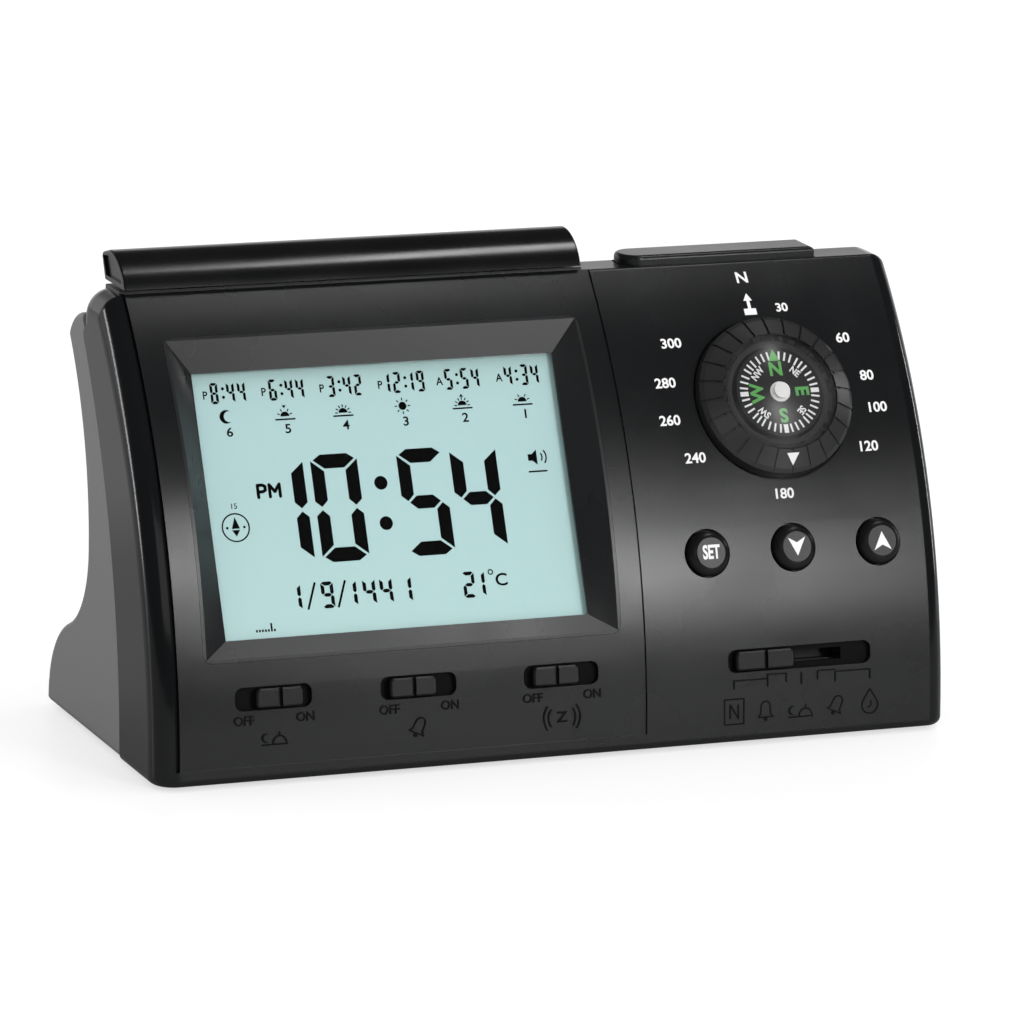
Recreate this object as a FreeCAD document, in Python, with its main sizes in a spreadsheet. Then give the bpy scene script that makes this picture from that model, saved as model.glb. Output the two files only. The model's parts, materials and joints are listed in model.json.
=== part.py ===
"""Table alarm clock with a leaning, curved front: calendar display, compass and sliding switches.

Case axes: X runs from the left side to the right side, Y from the front to the back and Z up.
Case measures start at the left side, at the foot of the front face and at the underside of the
housings. Every sub-part is then moved so that the middle of the footprint, on the table, is the
origin.
"""
import FreeCAD, Part
import math
import os
import re
import Sketcher

# name, with its millimetres or its count
SIZES = [
    # case
    ("case_width", 152.5),
    ("case_height", 81.5),
    ("case_depth", 62.8),
    ("foot_lift", 0.6),
    ("wall", 2.2),
    ("face_radius", 124.0),
    ("face_drop", 3.2),
    ("crown_radius", 5.5),
    ("shoulder_depth", 53.1),
    ("shoulder_drop", 10.6),
    ("shoulder_radius", 8.5),
    ("parting_radius", 136.0),
    ("parting_base", 20.1),
    ("waist_depth", 40.9),
    ("waist_drop", 47.8),
    ("flare_radius", 17.5),
    ("heel_height", 1.5),
    ("heel_chamfer", 1.6),
    ("left_rounding", 4.6),
    ("right_rounding", 3.4),
    ("rear_rounding", 1.0),
    ("rear_inset", 0.5),
    ("base_rounding", 1.5),
    ("shoulder_rounding", 1.4),
    ("edge_rounding", 0.8),
    ("lip_thickness", 1.2),
    ("lip_length", 2.0),
    ("lip_drop", 11.5),
    # relief of the front face
    ("groove_place", 4.1),
    ("groove_width", 0.9),
    ("groove_depth", 1.0),
    ("relief_start", 3.0),
    ("right_field", 59.4),
    ("panel_step", 0.4),
    ("fit_clearance", 0.05),
    # display
    ("display_foot", 21.65),
    ("display_top_room", 6.76),
    ("display_left_room", 5.3),
    ("display_right_room", 4.5),
    ("bezel_rim", 0.6),
    ("bezel_lip", 0.4),
    ("bezel_rounding", 1.8),
    ("window_side", 5.2),
    ("window_sill", 5.25),
    ("window_shift", -1.1),
    ("window_recess", 2.4),
    ("cover_thickness", 1.0),
    ("cover_margin", 2.5),
    ("glass_thickness", 2.5),
    ("glass_margin", 1.8),
    ("backlight_thickness", 3.4),
    ("holder_wall", 1.6),
    ("zebra_width", 2.0),
    ("board_thickness", 1.6),
    ("main_board_room", 2.85),
    ("board_corner_room", 1.0),
    ("blob_radius", 6.0),
    ("blob_height", 1.4),
    ("crystal_radius", 1.8),
    ("crystal_height", 3.2),
    ("capacitor_radius", 2.5),
    ("capacitor_height", 4.5),
    ("ear_overhang", 2.6),
    ("ear_radius", 2.2),
    ("ear_high", 10.0),
    ("ear_low", -18.0),
    ("ear_arm", 10.5),
    ("board_screw_radius", 0.9),
    ("board_screw_grip", 2.2),
    # compass
    ("compass_room", 29.5),
    ("compass_drop", 22.0),
    ("ring_radius", 14.85),
    ("ring_top", 2.4),
    ("ring_crest", 4.1),
    ("ring_gap", 0.3),
    ("ring_rounding", 0.7),
    ("ring_grooves", 24),
    ("ring_groove_width", 0.45),
    ("ring_groove_depth", 0.35),
    ("seat_depth", 1.2),
    ("seat_margin", 0.5),
    ("collar_radius", 11.0),
    ("collar_top", 2.6),
    ("turn_clearance", 0.08),
    ("cup_radius", 9.5),
    ("cup_bore", 8.9),
    ("cup_depth", 5.0),
    ("cup_floor", 1.0),
    ("lens_flange", 11.9),
    ("lens_radius", 10.8),
    ("lens_skirt", 0.7),
    ("lens_rise", 2.9),
    ("lens_wall", 0.9),
    ("lens_brim", 0.7),
    ("card_radius", 8.4),
    ("card_thickness", 0.4),
    ("card_height", 3.1),
    ("magnet_radius", 3.0),
    ("magnet_thickness", 1.2),
    ("pivot_radius", 0.4),
    ("cap_flange_radius", 1.9),
    ("cap_neck_radius", 1.1),
    ("cap_radius", 1.5),
    ("cap_flange", 0.35),
    ("cap_height", 1.35),
    ("cap_room", 0.1),
    # push buttons of the front
    ("key_room", 46.35),
    ("key_pitch", 16.9),
    ("key_drop", 25.2),
    ("key_radius", 4.15),
    ("key_top_radius", 2.75),
    ("key_rise", 1.9),
    ("key_skirt_rise", 0.5),
    ("key_travel", 0.8),
    ("key_clearance", 0.3),
    ("key_flange", 0.8),
    ("key_stem_radius", 1.5),
    ("dome_height", 1.1),
    ("key_board_height", 10.0),
    ("key_board_drop", 8.0),
    ("keypad_thickness", 0.8),
    # sliding switches
    ("slide_shift", 0.4),
    ("slide_pitch", 27.3),
    ("slide_height", 15.0),
    ("slot_length", 14.4),
    ("slot_width", 4.2),
    ("slot_depth", 1.2),
    ("slot_rounding", 1.5),
    ("knob_length", 8.8),
    ("knob_width", 3.4),
    ("knob_rise", 0.7),
    ("knob_groove", 0.9),
    ("knob_edge", 0.3),
    ("keeper_thickness", 0.6),
    ("slider_board_height", 8.0),
    ("slide_travel", 2.2),
    ("mode_room", 29.4),
    ("mode_slot_length", 28.2),
    ("mode_knob_length", 11.4),
    ("mode_travel", 13.8),
    ("stem_length", 3.0),
    ("stem_width", 1.6),
    ("stem_clearance", 0.3),
    ("slide_board_drop", 7.4),
    ("post_radius", 1.9),
    ("post_gap", 3.0),
    ("post_sink", 0.7),
    ("switch_body_height", 3.4),
    ("switch_body_width", 4.0),
    # bars and switches of the top
    ("bar_start", 4.2),
    ("bar_gap", 1.7),
    ("bar_overhang", 0.3),
    ("bar_rise", 5.6),
    ("bar_crown", 9.0),
    ("bar_back_rise", 4.5),
    ("bar_depth", 13.0),
    ("bar_foot_depth", 11.0),
    ("bar_front_radius", 9.0),
    ("bar_wall", 1.5),
    ("bar_rounding", 0.9),
    ("bar_rim", 0.8),
    ("bar_recess", 0.5),
    ("ledge_depth", 7.6),
    ("ledge_rise", 0.4),
    ("ledge_inset", 0.5),
    ("ledge_setback", 1.0),
    ("bar_travel", 0.45),
    ("bar_leg_place", 14.0),
    ("bar_leg_width", 5.0),
    ("bar_leg_depth", 2.6),
    ("bar_leg_setback", 4.8),
    ("light_gap", 7.2),
    ("light_room", 14.4),
    ("light_setback", 0.9),
    ("light_depth", 7.8),
    ("light_rise", 1.8),
    ("light_rounding", 3.6),
    ("top_clearance", 0.25),
    ("hook_width", 0.8),
    ("top_board_drop", 9.3),
    ("top_board_depth", 9.0),
    ("top_board_inset", 12.0),
    ("top_boss_left", 30.0),
    ("top_boss_gap", 1.9),
    ("tact_size", 5.0),
    ("tact_height", 2.0),
    # back
    ("speaker_room", 36.5),
    ("speaker_drop", 30.5),
    ("speaker_radius", 17.5),
    ("speaker_depth", 7.5),
    ("speaker_seat", 1.0),
    ("speaker_rim", 2.4),
    ("speaker_magnet_radius", 8.0),
    ("speaker_magnet_depth", 3.6),
    ("speaker_wall", 1.2),
    ("grille_radius", 15.0),
    ("grille_slot", 1.5),
    ("grille_pitch", 3.2),
    ("grille_side_rows", 4),
    # power
    ("cell_radius", 5.2),
    ("cell_length", 44.0),
    ("cell_pitch", 12.0),
    ("cell_nub_radius", 1.9),
    ("cell_nub_length", 0.9),
    ("contact_thickness", 0.4),
    ("spring_wire", 0.6),
    ("spring_turns", 2.5),
    ("bay_depth_place", 40.5),
    ("bay_end_room", 4.0),
    ("bay_wall", 1.4),
    ("door_margin", 8.0),
    ("door_front", 26.0),
    ("door_thickness", 1.6),
    ("door_recess", 0.3),
    ("door_clearance", 0.2),
    ("door_rail", 1.6),
    ("grip_width", 0.8),
    ("grip_pitch", 1.8),
    ("grip_lines", 5),
    # fasteners and feet
    ("boss_radius", 3.0),
    ("boss_sleeve_radius", 3.65),
    ("boss_inset", 5.9),
    ("boss_low", 7.0),
    ("boss_drop", 16.0),
    ("screw_radius", 1.3),
    ("screw_head_radius", 2.6),
    ("screw_head_height", 1.8),
    ("screw_length", 9.0),
    ("screw_floor", 2.4),
    ("screw_slot", 0.7),
    ("foot_radius", 4.5),
    ("foot_seat", 0.7),
    ("foot_inset", 15.0),
    ("foot_front", 9.5),
    ("foot_back", 53.5),
]

# what follows from the sizes, by name
WORKED_OUT = {
    "panel_edge": "case_width - right_field",
    "shoulder_height": "case_height - shoulder_drop",
    "waist_height": "case_height - waist_drop",
    "lip_height": "case_height - lip_drop",
    "boss_high": "case_height - boss_drop",
    "speaker_place": "case_width - speaker_room",
    "speaker_height": "case_height - speaker_drop",
    "bezel_width": "panel_edge - groove_place - display_left_room - display_right_room",
    "display_low_lean": "asin((display_foot + face_drop) / face_radius)",
    "display_high_lean": "asin((case_height - display_top_room + face_drop) / face_radius)",
    "bezel_height": "2 * face_radius * sin((display_high_lean - display_low_lean) / 2)",
    "display_lean": "(display_high_lean + display_low_lean) / 2",
    "display_place": "groove_place + display_left_room + bezel_width / 2",
    "window_width": "bezel_width - 2 * window_side",
    "window_height": "bezel_height - 2 * window_sill",
    "main_board_height": "bezel_height - 2 * main_board_room",
    "ear_reach": "bezel_width / 2 + ear_overhang",
    "compass_place": "case_width - compass_room",
    "compass_height": "case_height - compass_drop",
    "key_place": "case_width - key_room",
    "key_height": "compass_height - key_drop",
    "slide_place": "display_place + slide_shift - slide_pitch",
    "mode_place": "case_width - mode_room",
    "bar_end": "panel_edge - bar_gap",
    "light_start": "panel_edge + light_gap",
    "light_end": "case_width - light_room",
    "top_board_height": "case_height - top_board_drop",
    "top_boss_right": "panel_edge + top_boss_gap",
    "bay_place": "case_width / 2",
    "door_width": "cell_length + 2 * door_margin",
}

doc = FreeCAD.newDocument("TableClock")
sheet = doc.addObject("Spreadsheet::Sheet", "Sizes")
for row, (alias, value) in enumerate(SIZES, 1):
    sheet.set("A%d" % row, alias)
    sheet.set("B%d" % row, str(value))
    sheet.setAlias("B%d" % row, alias)
doc.recompute()

ALIASES = {alias for alias, value in SIZES}
BODIES = []


# ---- expressions -------------------------------------------------------------------------------

def bound(text):
    """The expression with each size's name pointing at its cell, and worked-out names written out."""
    def spelled(word):
        if word[0] in WORKED_OUT:
            return "(%s)" % bound(WORKED_OUT[word[0]])
        return "Sizes." + word[0] if word[0] in ALIASES else word[0]
    return re.sub(r"[a-z_]+", spelled, text)


def number(text):
    """The present value of an expression."""
    value = sheet.evalExpression(bound(text))
    return float(getattr(value, "Value", value))


def bind(thing, path, text):
    thing.setExpression(path, bound(text))


FACE_CENTRE = "sqrt(face_radius^2 - face_drop^2)"
PARTING_CENTRE = "(parting_base + sqrt(parting_radius^2 - face_drop^2))"


def arc_depth(height, radius="face_radius", centre=FACE_CENTRE):
    """Depth, from the foot of the front, of an upright arc at a height."""
    return "(%s - sqrt((%s)^2 - (%s + face_drop)^2))" % (centre, radius, height)


def lean_at(height):
    """How far the front face leans back at a height."""
    return "asin((%s + face_drop) / face_radius)" % height


TOP_FRONT = arc_depth("case_height")
LEFT_FACE = "(face_radius - panel_step)"


def face_frame(place, lean, radius="face_radius"):
    """A frame on the front face: X across, Y up the face and Z straight out of it."""
    return {
        "x": place,
        "y": "%s - %s * cos(%s)" % (FACE_CENTRE, radius, lean),
        "z": "%s * sin(%s) - face_drop" % (radius, lean),
        "turn": "90 deg - %s" % lean,
    }


CASE = {"x": "0", "y": "0", "z": "0", "turn": None}
DISPLAY_ARM = "(sqrt(face_radius^2 - (bezel_height / 2)^2) - window_recess)"
DISPLAY = face_frame("display_place", "display_lean", DISPLAY_ARM)
COMPASS = face_frame("compass_place", lean_at("compass_height"))


def key_frame(index):
    return face_frame("(key_place + %d * key_pitch)" % index, lean_at("key_height"))


def slide_frame(index):
    return face_frame("(slide_place + %d * slide_pitch)" % index, lean_at("slide_height"), LEFT_FACE)


MODE = face_frame("mode_place", lean_at("slide_height"))

BACK_RUN = "(shoulder_depth - waist_depth)"
BACK_RISE = "(shoulder_height - waist_height)"
BACK_RADIUS = "((%s^2 + %s^2) / (2 * %s))" % (BACK_RUN, BACK_RISE, BACK_RUN)
BACK_CENTRE = "(waist_depth + %s)" % BACK_RADIUS
BACK_LEAN = "asin((speaker_height - waist_height) / %s)" % BACK_RADIUS
SPEAKER = {
    "x": "speaker_place",
    "y": "%s - (%s + wall) * cos(%s)" % (BACK_CENTRE, BACK_RADIUS, BACK_LEAN),
    "z": "waist_height + (%s + wall) * sin(%s)" % (BACK_RADIUS, BACK_LEAN),
    "turn": "0 deg - 90 deg - %s" % BACK_LEAN,
}


# ---- modelling helpers -------------------------------------------------------------------------

def bind_placement(thing, path, frame, shift_to_origin):
    turn = 1.0
    if frame["turn"]:
        turn = number(frame["turn"])
    setattr(thing, path, FreeCAD.Placement(FreeCAD.Vector(), FreeCAD.Rotation(FreeCAD.Vector(1, 0, 0), turn)))
    shift = {"x": "0", "y": "0", "z": "0"}
    if shift_to_origin:
        shift = {"x": "-case_width / 2", "y": "-case_depth / 2", "z": "foot_lift"}
    for axis in "xyz":
        bind(thing, "%s.Base.%s" % (path, axis), "%s + %s" % (shift[axis], frame[axis]))
    bind(thing, path + ".Rotation.Angle", frame["turn"] or "0 deg")


def new_body(label, frame=CASE):
    body = doc.addObject("PartDesign::Body", label)
    body.Label = label
    body.AllowCompound = True
    bind_placement(body, "Placement", frame, True)
    BODIES.append(body)
    return body


def new_sketch(body, plane="XY_Plane", offset="0", frame=None):
    """A sketch on one of the body's own planes, moved along its normal or into a leaning frame."""
    sketch = body.newObject("Sketcher::SketchObject", body.Label + "_sketch")
    origin_plane = [item for item in body.Origin.OriginFeatures if item.Role == plane][0]
    sketch.AttachmentSupport = [(origin_plane, "")]
    sketch.MapMode = "FlatFace"
    if frame:
        raised = dict(frame)
        turn = frame["turn"] or "0 deg"
        raised["y"] = "%s - (%s) * sin(%s)" % (frame["y"], offset, turn)
        raised["z"] = "%s + (%s) * cos(%s)" % (frame["z"], offset, turn)
        bind_placement(sketch, "AttachmentOffset", raised, False)
    else:
        bind(sketch, "AttachmentOffset.Base.z", offset)
    return sketch


def arc_through(start, end, radius, left):
    """The centre of an arc between two points, to the left or right of the way from start to end."""
    middle = (start + end) / 2
    chord = end - start
    height = math.sqrt(max(radius ** 2 - (chord.Length / 2) ** 2, 0.0))
    side = FreeCAD.Vector(-chord.y, chord.x, 0).normalize()
    return middle + side * (height if left else -height)


def draw_outline(sketch, corners):
    """A closed outline. A corner is (x, y), with a radius and the centre's side for an arc to the next."""
    points = [FreeCAD.Vector(number(corner[0]), number(corner[1]), 0) for corner in corners]
    ends = []
    for index, corner in enumerate(corners):
        start = points[index]
        end = points[(index + 1) % len(points)]
        if len(corner) == 2:
            sketch.addGeometry(Part.LineSegment(start, end), False)
            ends.append((1, 2))
            continue
        radius = number(corner[2])
        left = corner[3] == "left"
        centre = arc_through(start, end, radius, left)
        first, last = (start, end) if left else (end, start)
        angles = [math.atan2(point.y - centre.y, point.x - centre.x) for point in (first, last)]
        circle = Part.Circle(centre, FreeCAD.Vector(0, 0, 1), radius)
        edge = sketch.addGeometry(Part.ArcOfCircle(circle, angles[0], angles[1]), False)
        ends.append((1, 2) if left else (2, 1))
        rule = sketch.addConstraint(Sketcher.Constraint("Radius", edge, radius))
        bind(sketch, "Constraints[%d]" % rule, corner[2])
    first_edge = sketch.GeometryCount - len(corners)
    for index, corner in enumerate(corners):
        edge = first_edge + index
        after = (index + 1) % len(corners)
        sketch.addConstraint(Sketcher.Constraint("Coincident", edge, ends[index][1],
                                                 first_edge + after, ends[after][0]))
        for kind, text, value in (("DistanceX", corner[0], points[index].x),
                                  ("DistanceY", corner[1], points[index].y)):
            rule = sketch.addConstraint(Sketcher.Constraint(kind, -1, 1, edge, ends[index][0], value))
            bind(sketch, "Constraints[%d]" % rule, text)


def draw_rectangle(sketch, width, height, x="0", y="0"):
    """A rectangle about a centre."""
    left = "%s - (%s) / 2" % (x, width)
    right = "%s + (%s) / 2" % (x, width)
    low = "%s - (%s) / 2" % (y, height)
    high = "%s + (%s) / 2" % (y, height)
    draw_outline(sketch, [(left, low), (right, low), (right, high), (left, high)])


def draw_slot(sketch, width, height, rounding, x="0", y="0"):
    """A rectangle about a centre with rounded corners."""
    half_width = "(%s) / 2" % width
    half_height = "(%s) / 2" % height
    left, right = "%s - %s" % (x, half_width), "%s + %s" % (x, half_width)
    low, high = "%s - %s" % (y, half_height), "%s + %s" % (y, half_height)
    draw_outline(sketch, [
        ("%s + %s" % (left, rounding), low),
        ("%s - %s" % (right, rounding), low, rounding, "left"),
        (right, "%s + %s" % (low, rounding)),
        (right, "%s - %s" % (high, rounding), rounding, "left"),
        ("%s - %s" % (right, rounding), high),
        ("%s + %s" % (left, rounding), high, rounding, "left"),
        (left, "%s - %s" % (high, rounding)),
        (left, "%s + %s" % (low, rounding), rounding, "left"),
    ])


def draw_circle(sketch, radius, x="0", y="0"):
    centre = FreeCAD.Vector(number(x), number(y), 0)
    edge = sketch.addGeometry(Part.Circle(centre, FreeCAD.Vector(0, 0, 1), number(radius)), False)
    rules = [("Radius", (edge, number(radius)), radius),
             ("DistanceX", (-1, 1, edge, 3, centre.x), x),
             ("DistanceY", (-1, 1, edge, 3, centre.y), y)]
    for kind, values, text in rules:
        rule = sketch.addConstraint(Sketcher.Constraint(kind, *values))
        bind(sketch, "Constraints[%d]" % rule, text)


def settle(body, feature):
    """Recomputes and stops at a feature that failed."""
    doc.recompute()
    if "Invalid" in feature.State or feature.Shape.isNull():
        raise ValueError("%s of %s failed: %s" % (feature.Name, body.Label, feature.getStatusString()))
    return feature


def pad(body, sketch, length, reverse=False):
    feature = body.newObject("PartDesign::Pad", body.Label + "_pad")
    feature.Profile = sketch
    bind(feature, "Length", length)
    feature.Reversed = reverse
    return settle(body, feature)


def pocket(body, sketch, length, reverse=False):
    """Cuts from the sketch away from its normal, or along it when reversed."""
    before = body.Shape.Volume
    feature = body.newObject("PartDesign::Pocket", body.Label + "_pocket")
    feature.Profile = sketch
    bind(feature, "Length", length)
    feature.Reversed = reverse
    settle(body, feature)
    if body.Shape.Volume > before - 1e-3:
        raise ValueError("%s cuts nothing from %s" % (feature.Name, body.Label))
    return feature


def revolve(body, corners):
    """Turns an outline, given as (distance from the axis, height), about the body's Z axis."""
    sketch = new_sketch(body, "XZ_Plane")
    draw_outline(sketch, corners)
    feature = body.newObject("PartDesign::Revolution", body.Label + "_turned")
    feature.Profile = sketch
    feature.ReferenceAxis = (sketch, ["V_Axis"])
    feature.Angle = 360
    return settle(body, feature)


def soften(body, base, radius, test, kind="Fillet"):
    """Rounds or chamfers the edges of a feature whose middle point passes the test."""
    names = []
    for index, edge in enumerate(base.Shape.Edges, 1):
        middle = edge.valueAt((edge.FirstParameter + edge.LastParameter) / 2)
        if test(middle, edge):
            names.append("Edge%d" % index)
    if not names:
        raise ValueError("no edge of %s to soften" % body.Label)
    feature = body.newObject("PartDesign::" + kind, body.Label + "_softened")
    feature.Base = (base, names)
    bind(feature, "Radius" if kind == "Fillet" else "Size", radius)
    settle(body, feature)
    if not body.Shape.isValid():
        raise ValueError("%s of %s is not sound" % (feature.Name, body.Label))
    return feature


def near(value, text, room=0.01):
    return abs(value - number(text)) < room


def box_on(body, width, depth, low, height, x="0", y="0"):
    """A block of the body's own axes, from a low level up."""
    sketch = new_sketch(body, offset=low)
    draw_rectangle(sketch, width, depth, x, y)
    return pad(body, sketch, height)


def cylinder_on(body, radius, low, height, x="0", y="0"):
    sketch = new_sketch(body, offset=low)
    draw_circle(sketch, radius, x, y)
    return pad(body, sketch, height)


def hole_down(body, radius, top, depth, x="0", y="0"):
    sketch = new_sketch(body, offset=top)
    draw_circle(sketch, radius, x, y)
    return pocket(body, sketch, depth)


# ---- outlines of the case ----------------------------------------------------------------------

HEEL_RUN = "(case_depth - waist_depth)"
HEEL_SUM = "((%s^2 + (waist_height - heel_height)^2) / (2 * %s))" % (HEEL_RUN, HEEL_RUN)
HEEL_RADIUS = "(%s - flare_radius)" % HEEL_SUM


def flare_point(extra):
    """Where the hollow of the back meets the round heel, on the outline moved in by an extra."""
    reach = "((flare_radius + %s) / %s)" % (extra, HEEL_SUM)
    depth = "(waist_depth + flare_radius + %s * (%s - %s))" % (reach, HEEL_RUN, HEEL_SUM)
    height = "(waist_height + %s * (heel_height - waist_height))" % reach
    return depth, height


def seam_depth(height):
    return arc_depth(height, "parting_radius", PARTING_CENTRE)


def on_seam(point):
    depth = number(PARTING_CENTRE) - point.y
    height = point.z + number("face_drop")
    return abs(math.hypot(depth, height) - number("parting_radius")) < 0.01


CROWN_FOOT = "(case_height - crown_radius)"
CROWN_BACK = seam_depth(CROWN_FOOT)
CROWN_END = "(%s - crown_radius)" % CROWN_BACK
SHELL_TOP = "(%s - wall)" % CROWN_FOOT


def on_side(point, inset="0"):
    return near(point.x, inset) or near(point.x, "case_width - %s" % inset)


BOSS_SIDES = ("boss_inset", "(case_width - boss_inset)")


def boss_rows():
    """The heights of the case screws and the depth where the housings meet there."""
    return [(height, seam_depth(height)) for height in ("boss_low", "boss_high")]


def draw_circles(sketch, radius, places, y="0"):
    for place in places:
        draw_circle(sketch, radius, place, y)


def bar_leg_places():
    return ["(bar_start + bar_leg_place)", "(bar_end - bar_leg_place)"]


def ear_places():
    return [(side + "ear_reach", height) for height in ("ear_high", "ear_low") for side in ("", "-")]


TOP_BOSSES = ("top_boss_left", "top_boss_right")
LEG_DEPTH = "(%s + bar_leg_setback)" % TOP_FRONT
CEILING = "(case_height - wall)"
BAR_LOW = "(case_height + ledge_rise + bar_travel + fit_clearance)"
LIGHT_MIDDLE = "((light_start + light_end) / 2)"
LIGHT_DEPTH_MIDDLE = "(%s + light_setback + light_depth / 2)" % TOP_FRONT
STEM_SLOT = "(stem_length + %s + 2 * stem_clearance)"


def draw_light_outline(sketch, extra):
    """The plan of the flat button: both left corners well rounded."""
    left = "light_start - (%s)" % extra
    right = "light_end + (%s)" % extra
    low = "%s + light_setback - (%s)" % (TOP_FRONT, extra)
    high = "%s + light_setback + light_depth + (%s)" % (TOP_FRONT, extra)
    draw_outline(sketch, [
        ("%s + light_rounding" % left, low),
        (right, low),
        (right, high),
        ("%s + light_rounding" % left, high, "light_rounding", "left"),
        (left, "%s - light_rounding" % high),
        (left, "%s + light_rounding" % low, "light_rounding", "left"),
    ])


def make_front_housing():
    body = new_body("front_housing")
    sketch = new_sketch(body, "YZ_Plane")
    draw_outline(sketch, [
        ("0", "0"),
        ("parting_base", "0", "parting_radius", "right"),
        (CROWN_BACK, CROWN_FOOT, "crown_radius", "left"),
        (CROWN_END, "case_height"),
        (TOP_FRONT, "case_height", "face_radius", "left"),
    ])
    shell = pad(body, sketch, "case_width")
    shell = soften(body, shell, "edge_rounding", lambda p, e: near(p.z, "case_height") and near(p.y, TOP_FRONT))
    for side, rounding in (("0", "left_rounding"), ("case_width", "right_rounding")):
        shell = soften(body, shell, rounding,
                       lambda p, e: near(p.x, side) and not on_seam(p) and not near(p.z, "0"))
    soften(body, shell, "base_rounding", lambda p, e: on_side(p) and near(p.z, "0"))
    hollow_front(body)
    add_top_of_front(body)
    cut_face_relief(body)
    cut_display_opening(body)
    cut_compass_seat(body)
    cut_control_openings(body)
    add_front_bosses(body)
    cut_foot_seats(body, "foot_front")
    return body


def hollow_front(body):
    """Leaves a wall under the face, the top and the round crown, down to the seam."""
    inner = "(face_radius - wall)"
    inner_crown = "(crown_radius - wall)"
    sketch = new_sketch(body, "YZ_Plane", "wall")
    draw_outline(sketch, [
        (arc_depth("wall", inner), "wall"),
        ("case_depth", "wall"),
        ("case_depth", SHELL_TOP),
        (seam_depth(SHELL_TOP), SHELL_TOP),
        ("%s - wall" % CROWN_BACK, CROWN_FOOT, inner_crown, "left"),
        (CROWN_END, CEILING),
        (arc_depth(CEILING, inner), CEILING, inner, "left"),
    ])
    pocket(body, sketch, "case_width - 2 * wall", True)


def add_top_of_front(body):
    """The low ledge under the long bar, its leg holes and the opening of the flat button."""
    sketch = new_sketch(body, offset="case_height - ledge_rise")
    draw_rectangle(sketch, "bar_end - bar_start + 2 * ledge_inset", "ledge_depth", "(bar_start + bar_end) / 2",
                   "%s + ledge_setback + ledge_depth / 2" % TOP_FRONT)
    pad(body, sketch, "2 * ledge_rise")
    sketch = new_sketch(body, offset="case_height + 2 * ledge_rise")
    for place in bar_leg_places():
        draw_rectangle(sketch, "bar_leg_width + 2 * top_clearance", "bar_leg_depth + 2 * top_clearance",
                       place, LEG_DEPTH)
    pocket(body, sketch, "2 * ledge_rise + 1.5 * wall")
    sketch = new_sketch(body, offset="case_height + 2 * ledge_rise")
    draw_light_outline(sketch, "top_clearance")
    pocket(body, sketch, "2 * ledge_rise + 1.5 * wall")
    sketch = new_sketch(body, offset="top_board_height + board_thickness")
    draw_circles(sketch, "ear_radius", TOP_BOSSES, LEG_DEPTH)
    pad(body, sketch, "%s - top_board_height - board_thickness + wall / 2" % CEILING)
    sketch = new_sketch(body, offset="top_board_height + board_thickness")
    draw_circles(sketch, "board_screw_radius", TOP_BOSSES, LEG_DEPTH)
    pocket(body, sketch, "board_screw_grip", True)


def cut_face_relief(body):
    """A groove beside the left column, and the left panel set back from the right one."""
    for start, width, depth in (("groove_place - groove_width / 2", "groove_width", "groove_depth"),
                                ("groove_place", "panel_edge - groove_place", "panel_step")):
        floor = "(face_radius - %s)" % depth
        sketch = new_sketch(body, "YZ_Plane", start)
        draw_outline(sketch, [
            ("-wall", "relief_start"),
            (arc_depth("relief_start", floor), "relief_start", floor, "right"),
            (arc_depth("case_height", floor), "case_height"),
            ("-wall", "case_height"),
        ])
        pocket(body, sketch, width, True)


def cut_display_opening(body):
    sketch = new_sketch(body, offset="3 * window_recess", frame=DISPLAY)
    draw_slot(sketch, "bezel_width + 2 * fit_clearance", "bezel_height + 2 * fit_clearance", "bezel_rounding")
    pocket(body, sketch, "5 * window_recess")
    for up in ("ear_high", "ear_low"):
        skin = "(sqrt(face_radius^2 - %s^2) - %s)" % (up, DISPLAY_ARM)
        sketch = new_sketch(body, offset="0", frame=DISPLAY)
        draw_circles(sketch, "ear_radius", ("ear_reach", "-ear_reach"), up)
        pad(body, sketch, "%s - wall / 2" % skin)
    sketch = new_sketch(body, offset="0", frame=DISPLAY)
    for across, up in ear_places():
        draw_circle(sketch, "board_screw_radius", across, up)
    pocket(body, sketch, "board_screw_grip", True)


def cut_compass_seat(body):
    sketch = new_sketch(body, offset="wall", frame=COMPASS)
    draw_circle(sketch, "ring_radius + seat_margin")
    pocket(body, sketch, "wall + seat_depth")
    sketch = new_sketch(body, offset="wall", frame=COMPASS)
    draw_circle(sketch, "cup_radius + fit_clearance")
    pocket(body, sketch, "3 * wall")


def cut_control_openings(body):
    """Round holes of the keys, and the sliders' slots with a narrower way for each stem."""
    sketch = new_sketch(body, offset="wall", frame=key_frame(0))
    for index in range(3):
        draw_circle(sketch, "key_radius + key_clearance", "%d * key_pitch" % index)
    pocket(body, sketch, "3 * wall")
    for frame, count, length, travel in ((slide_frame(0), 3, "slot_length", "slide_travel"),
                                         (MODE, 1, "mode_slot_length", "mode_travel")):
        sketch = new_sketch(body, offset="wall", frame=frame)
        for index in range(count):
            draw_slot(sketch, length, "slot_width", "slot_rounding", "%d * slide_pitch" % index)
        pocket(body, sketch, "wall + slot_depth")
        sketch = new_sketch(body, offset="wall", frame=frame)
        for index in range(count):
            draw_rectangle(sketch, STEM_SLOT % travel, "stem_width + 2 * stem_clearance",
                           "%d * slide_pitch" % index)
        pocket(body, sketch, "3 * wall")


KEY_POSTS = ["0.5 * key_pitch", "1.5 * key_pitch"]
SLIDE_END = "(mode_place - slide_place + mode_slot_length / 2 + post_gap)"
SLIDE_POSTS = ["0.5 * slide_pitch", "1.5 * slide_pitch", SLIDE_END]


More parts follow.
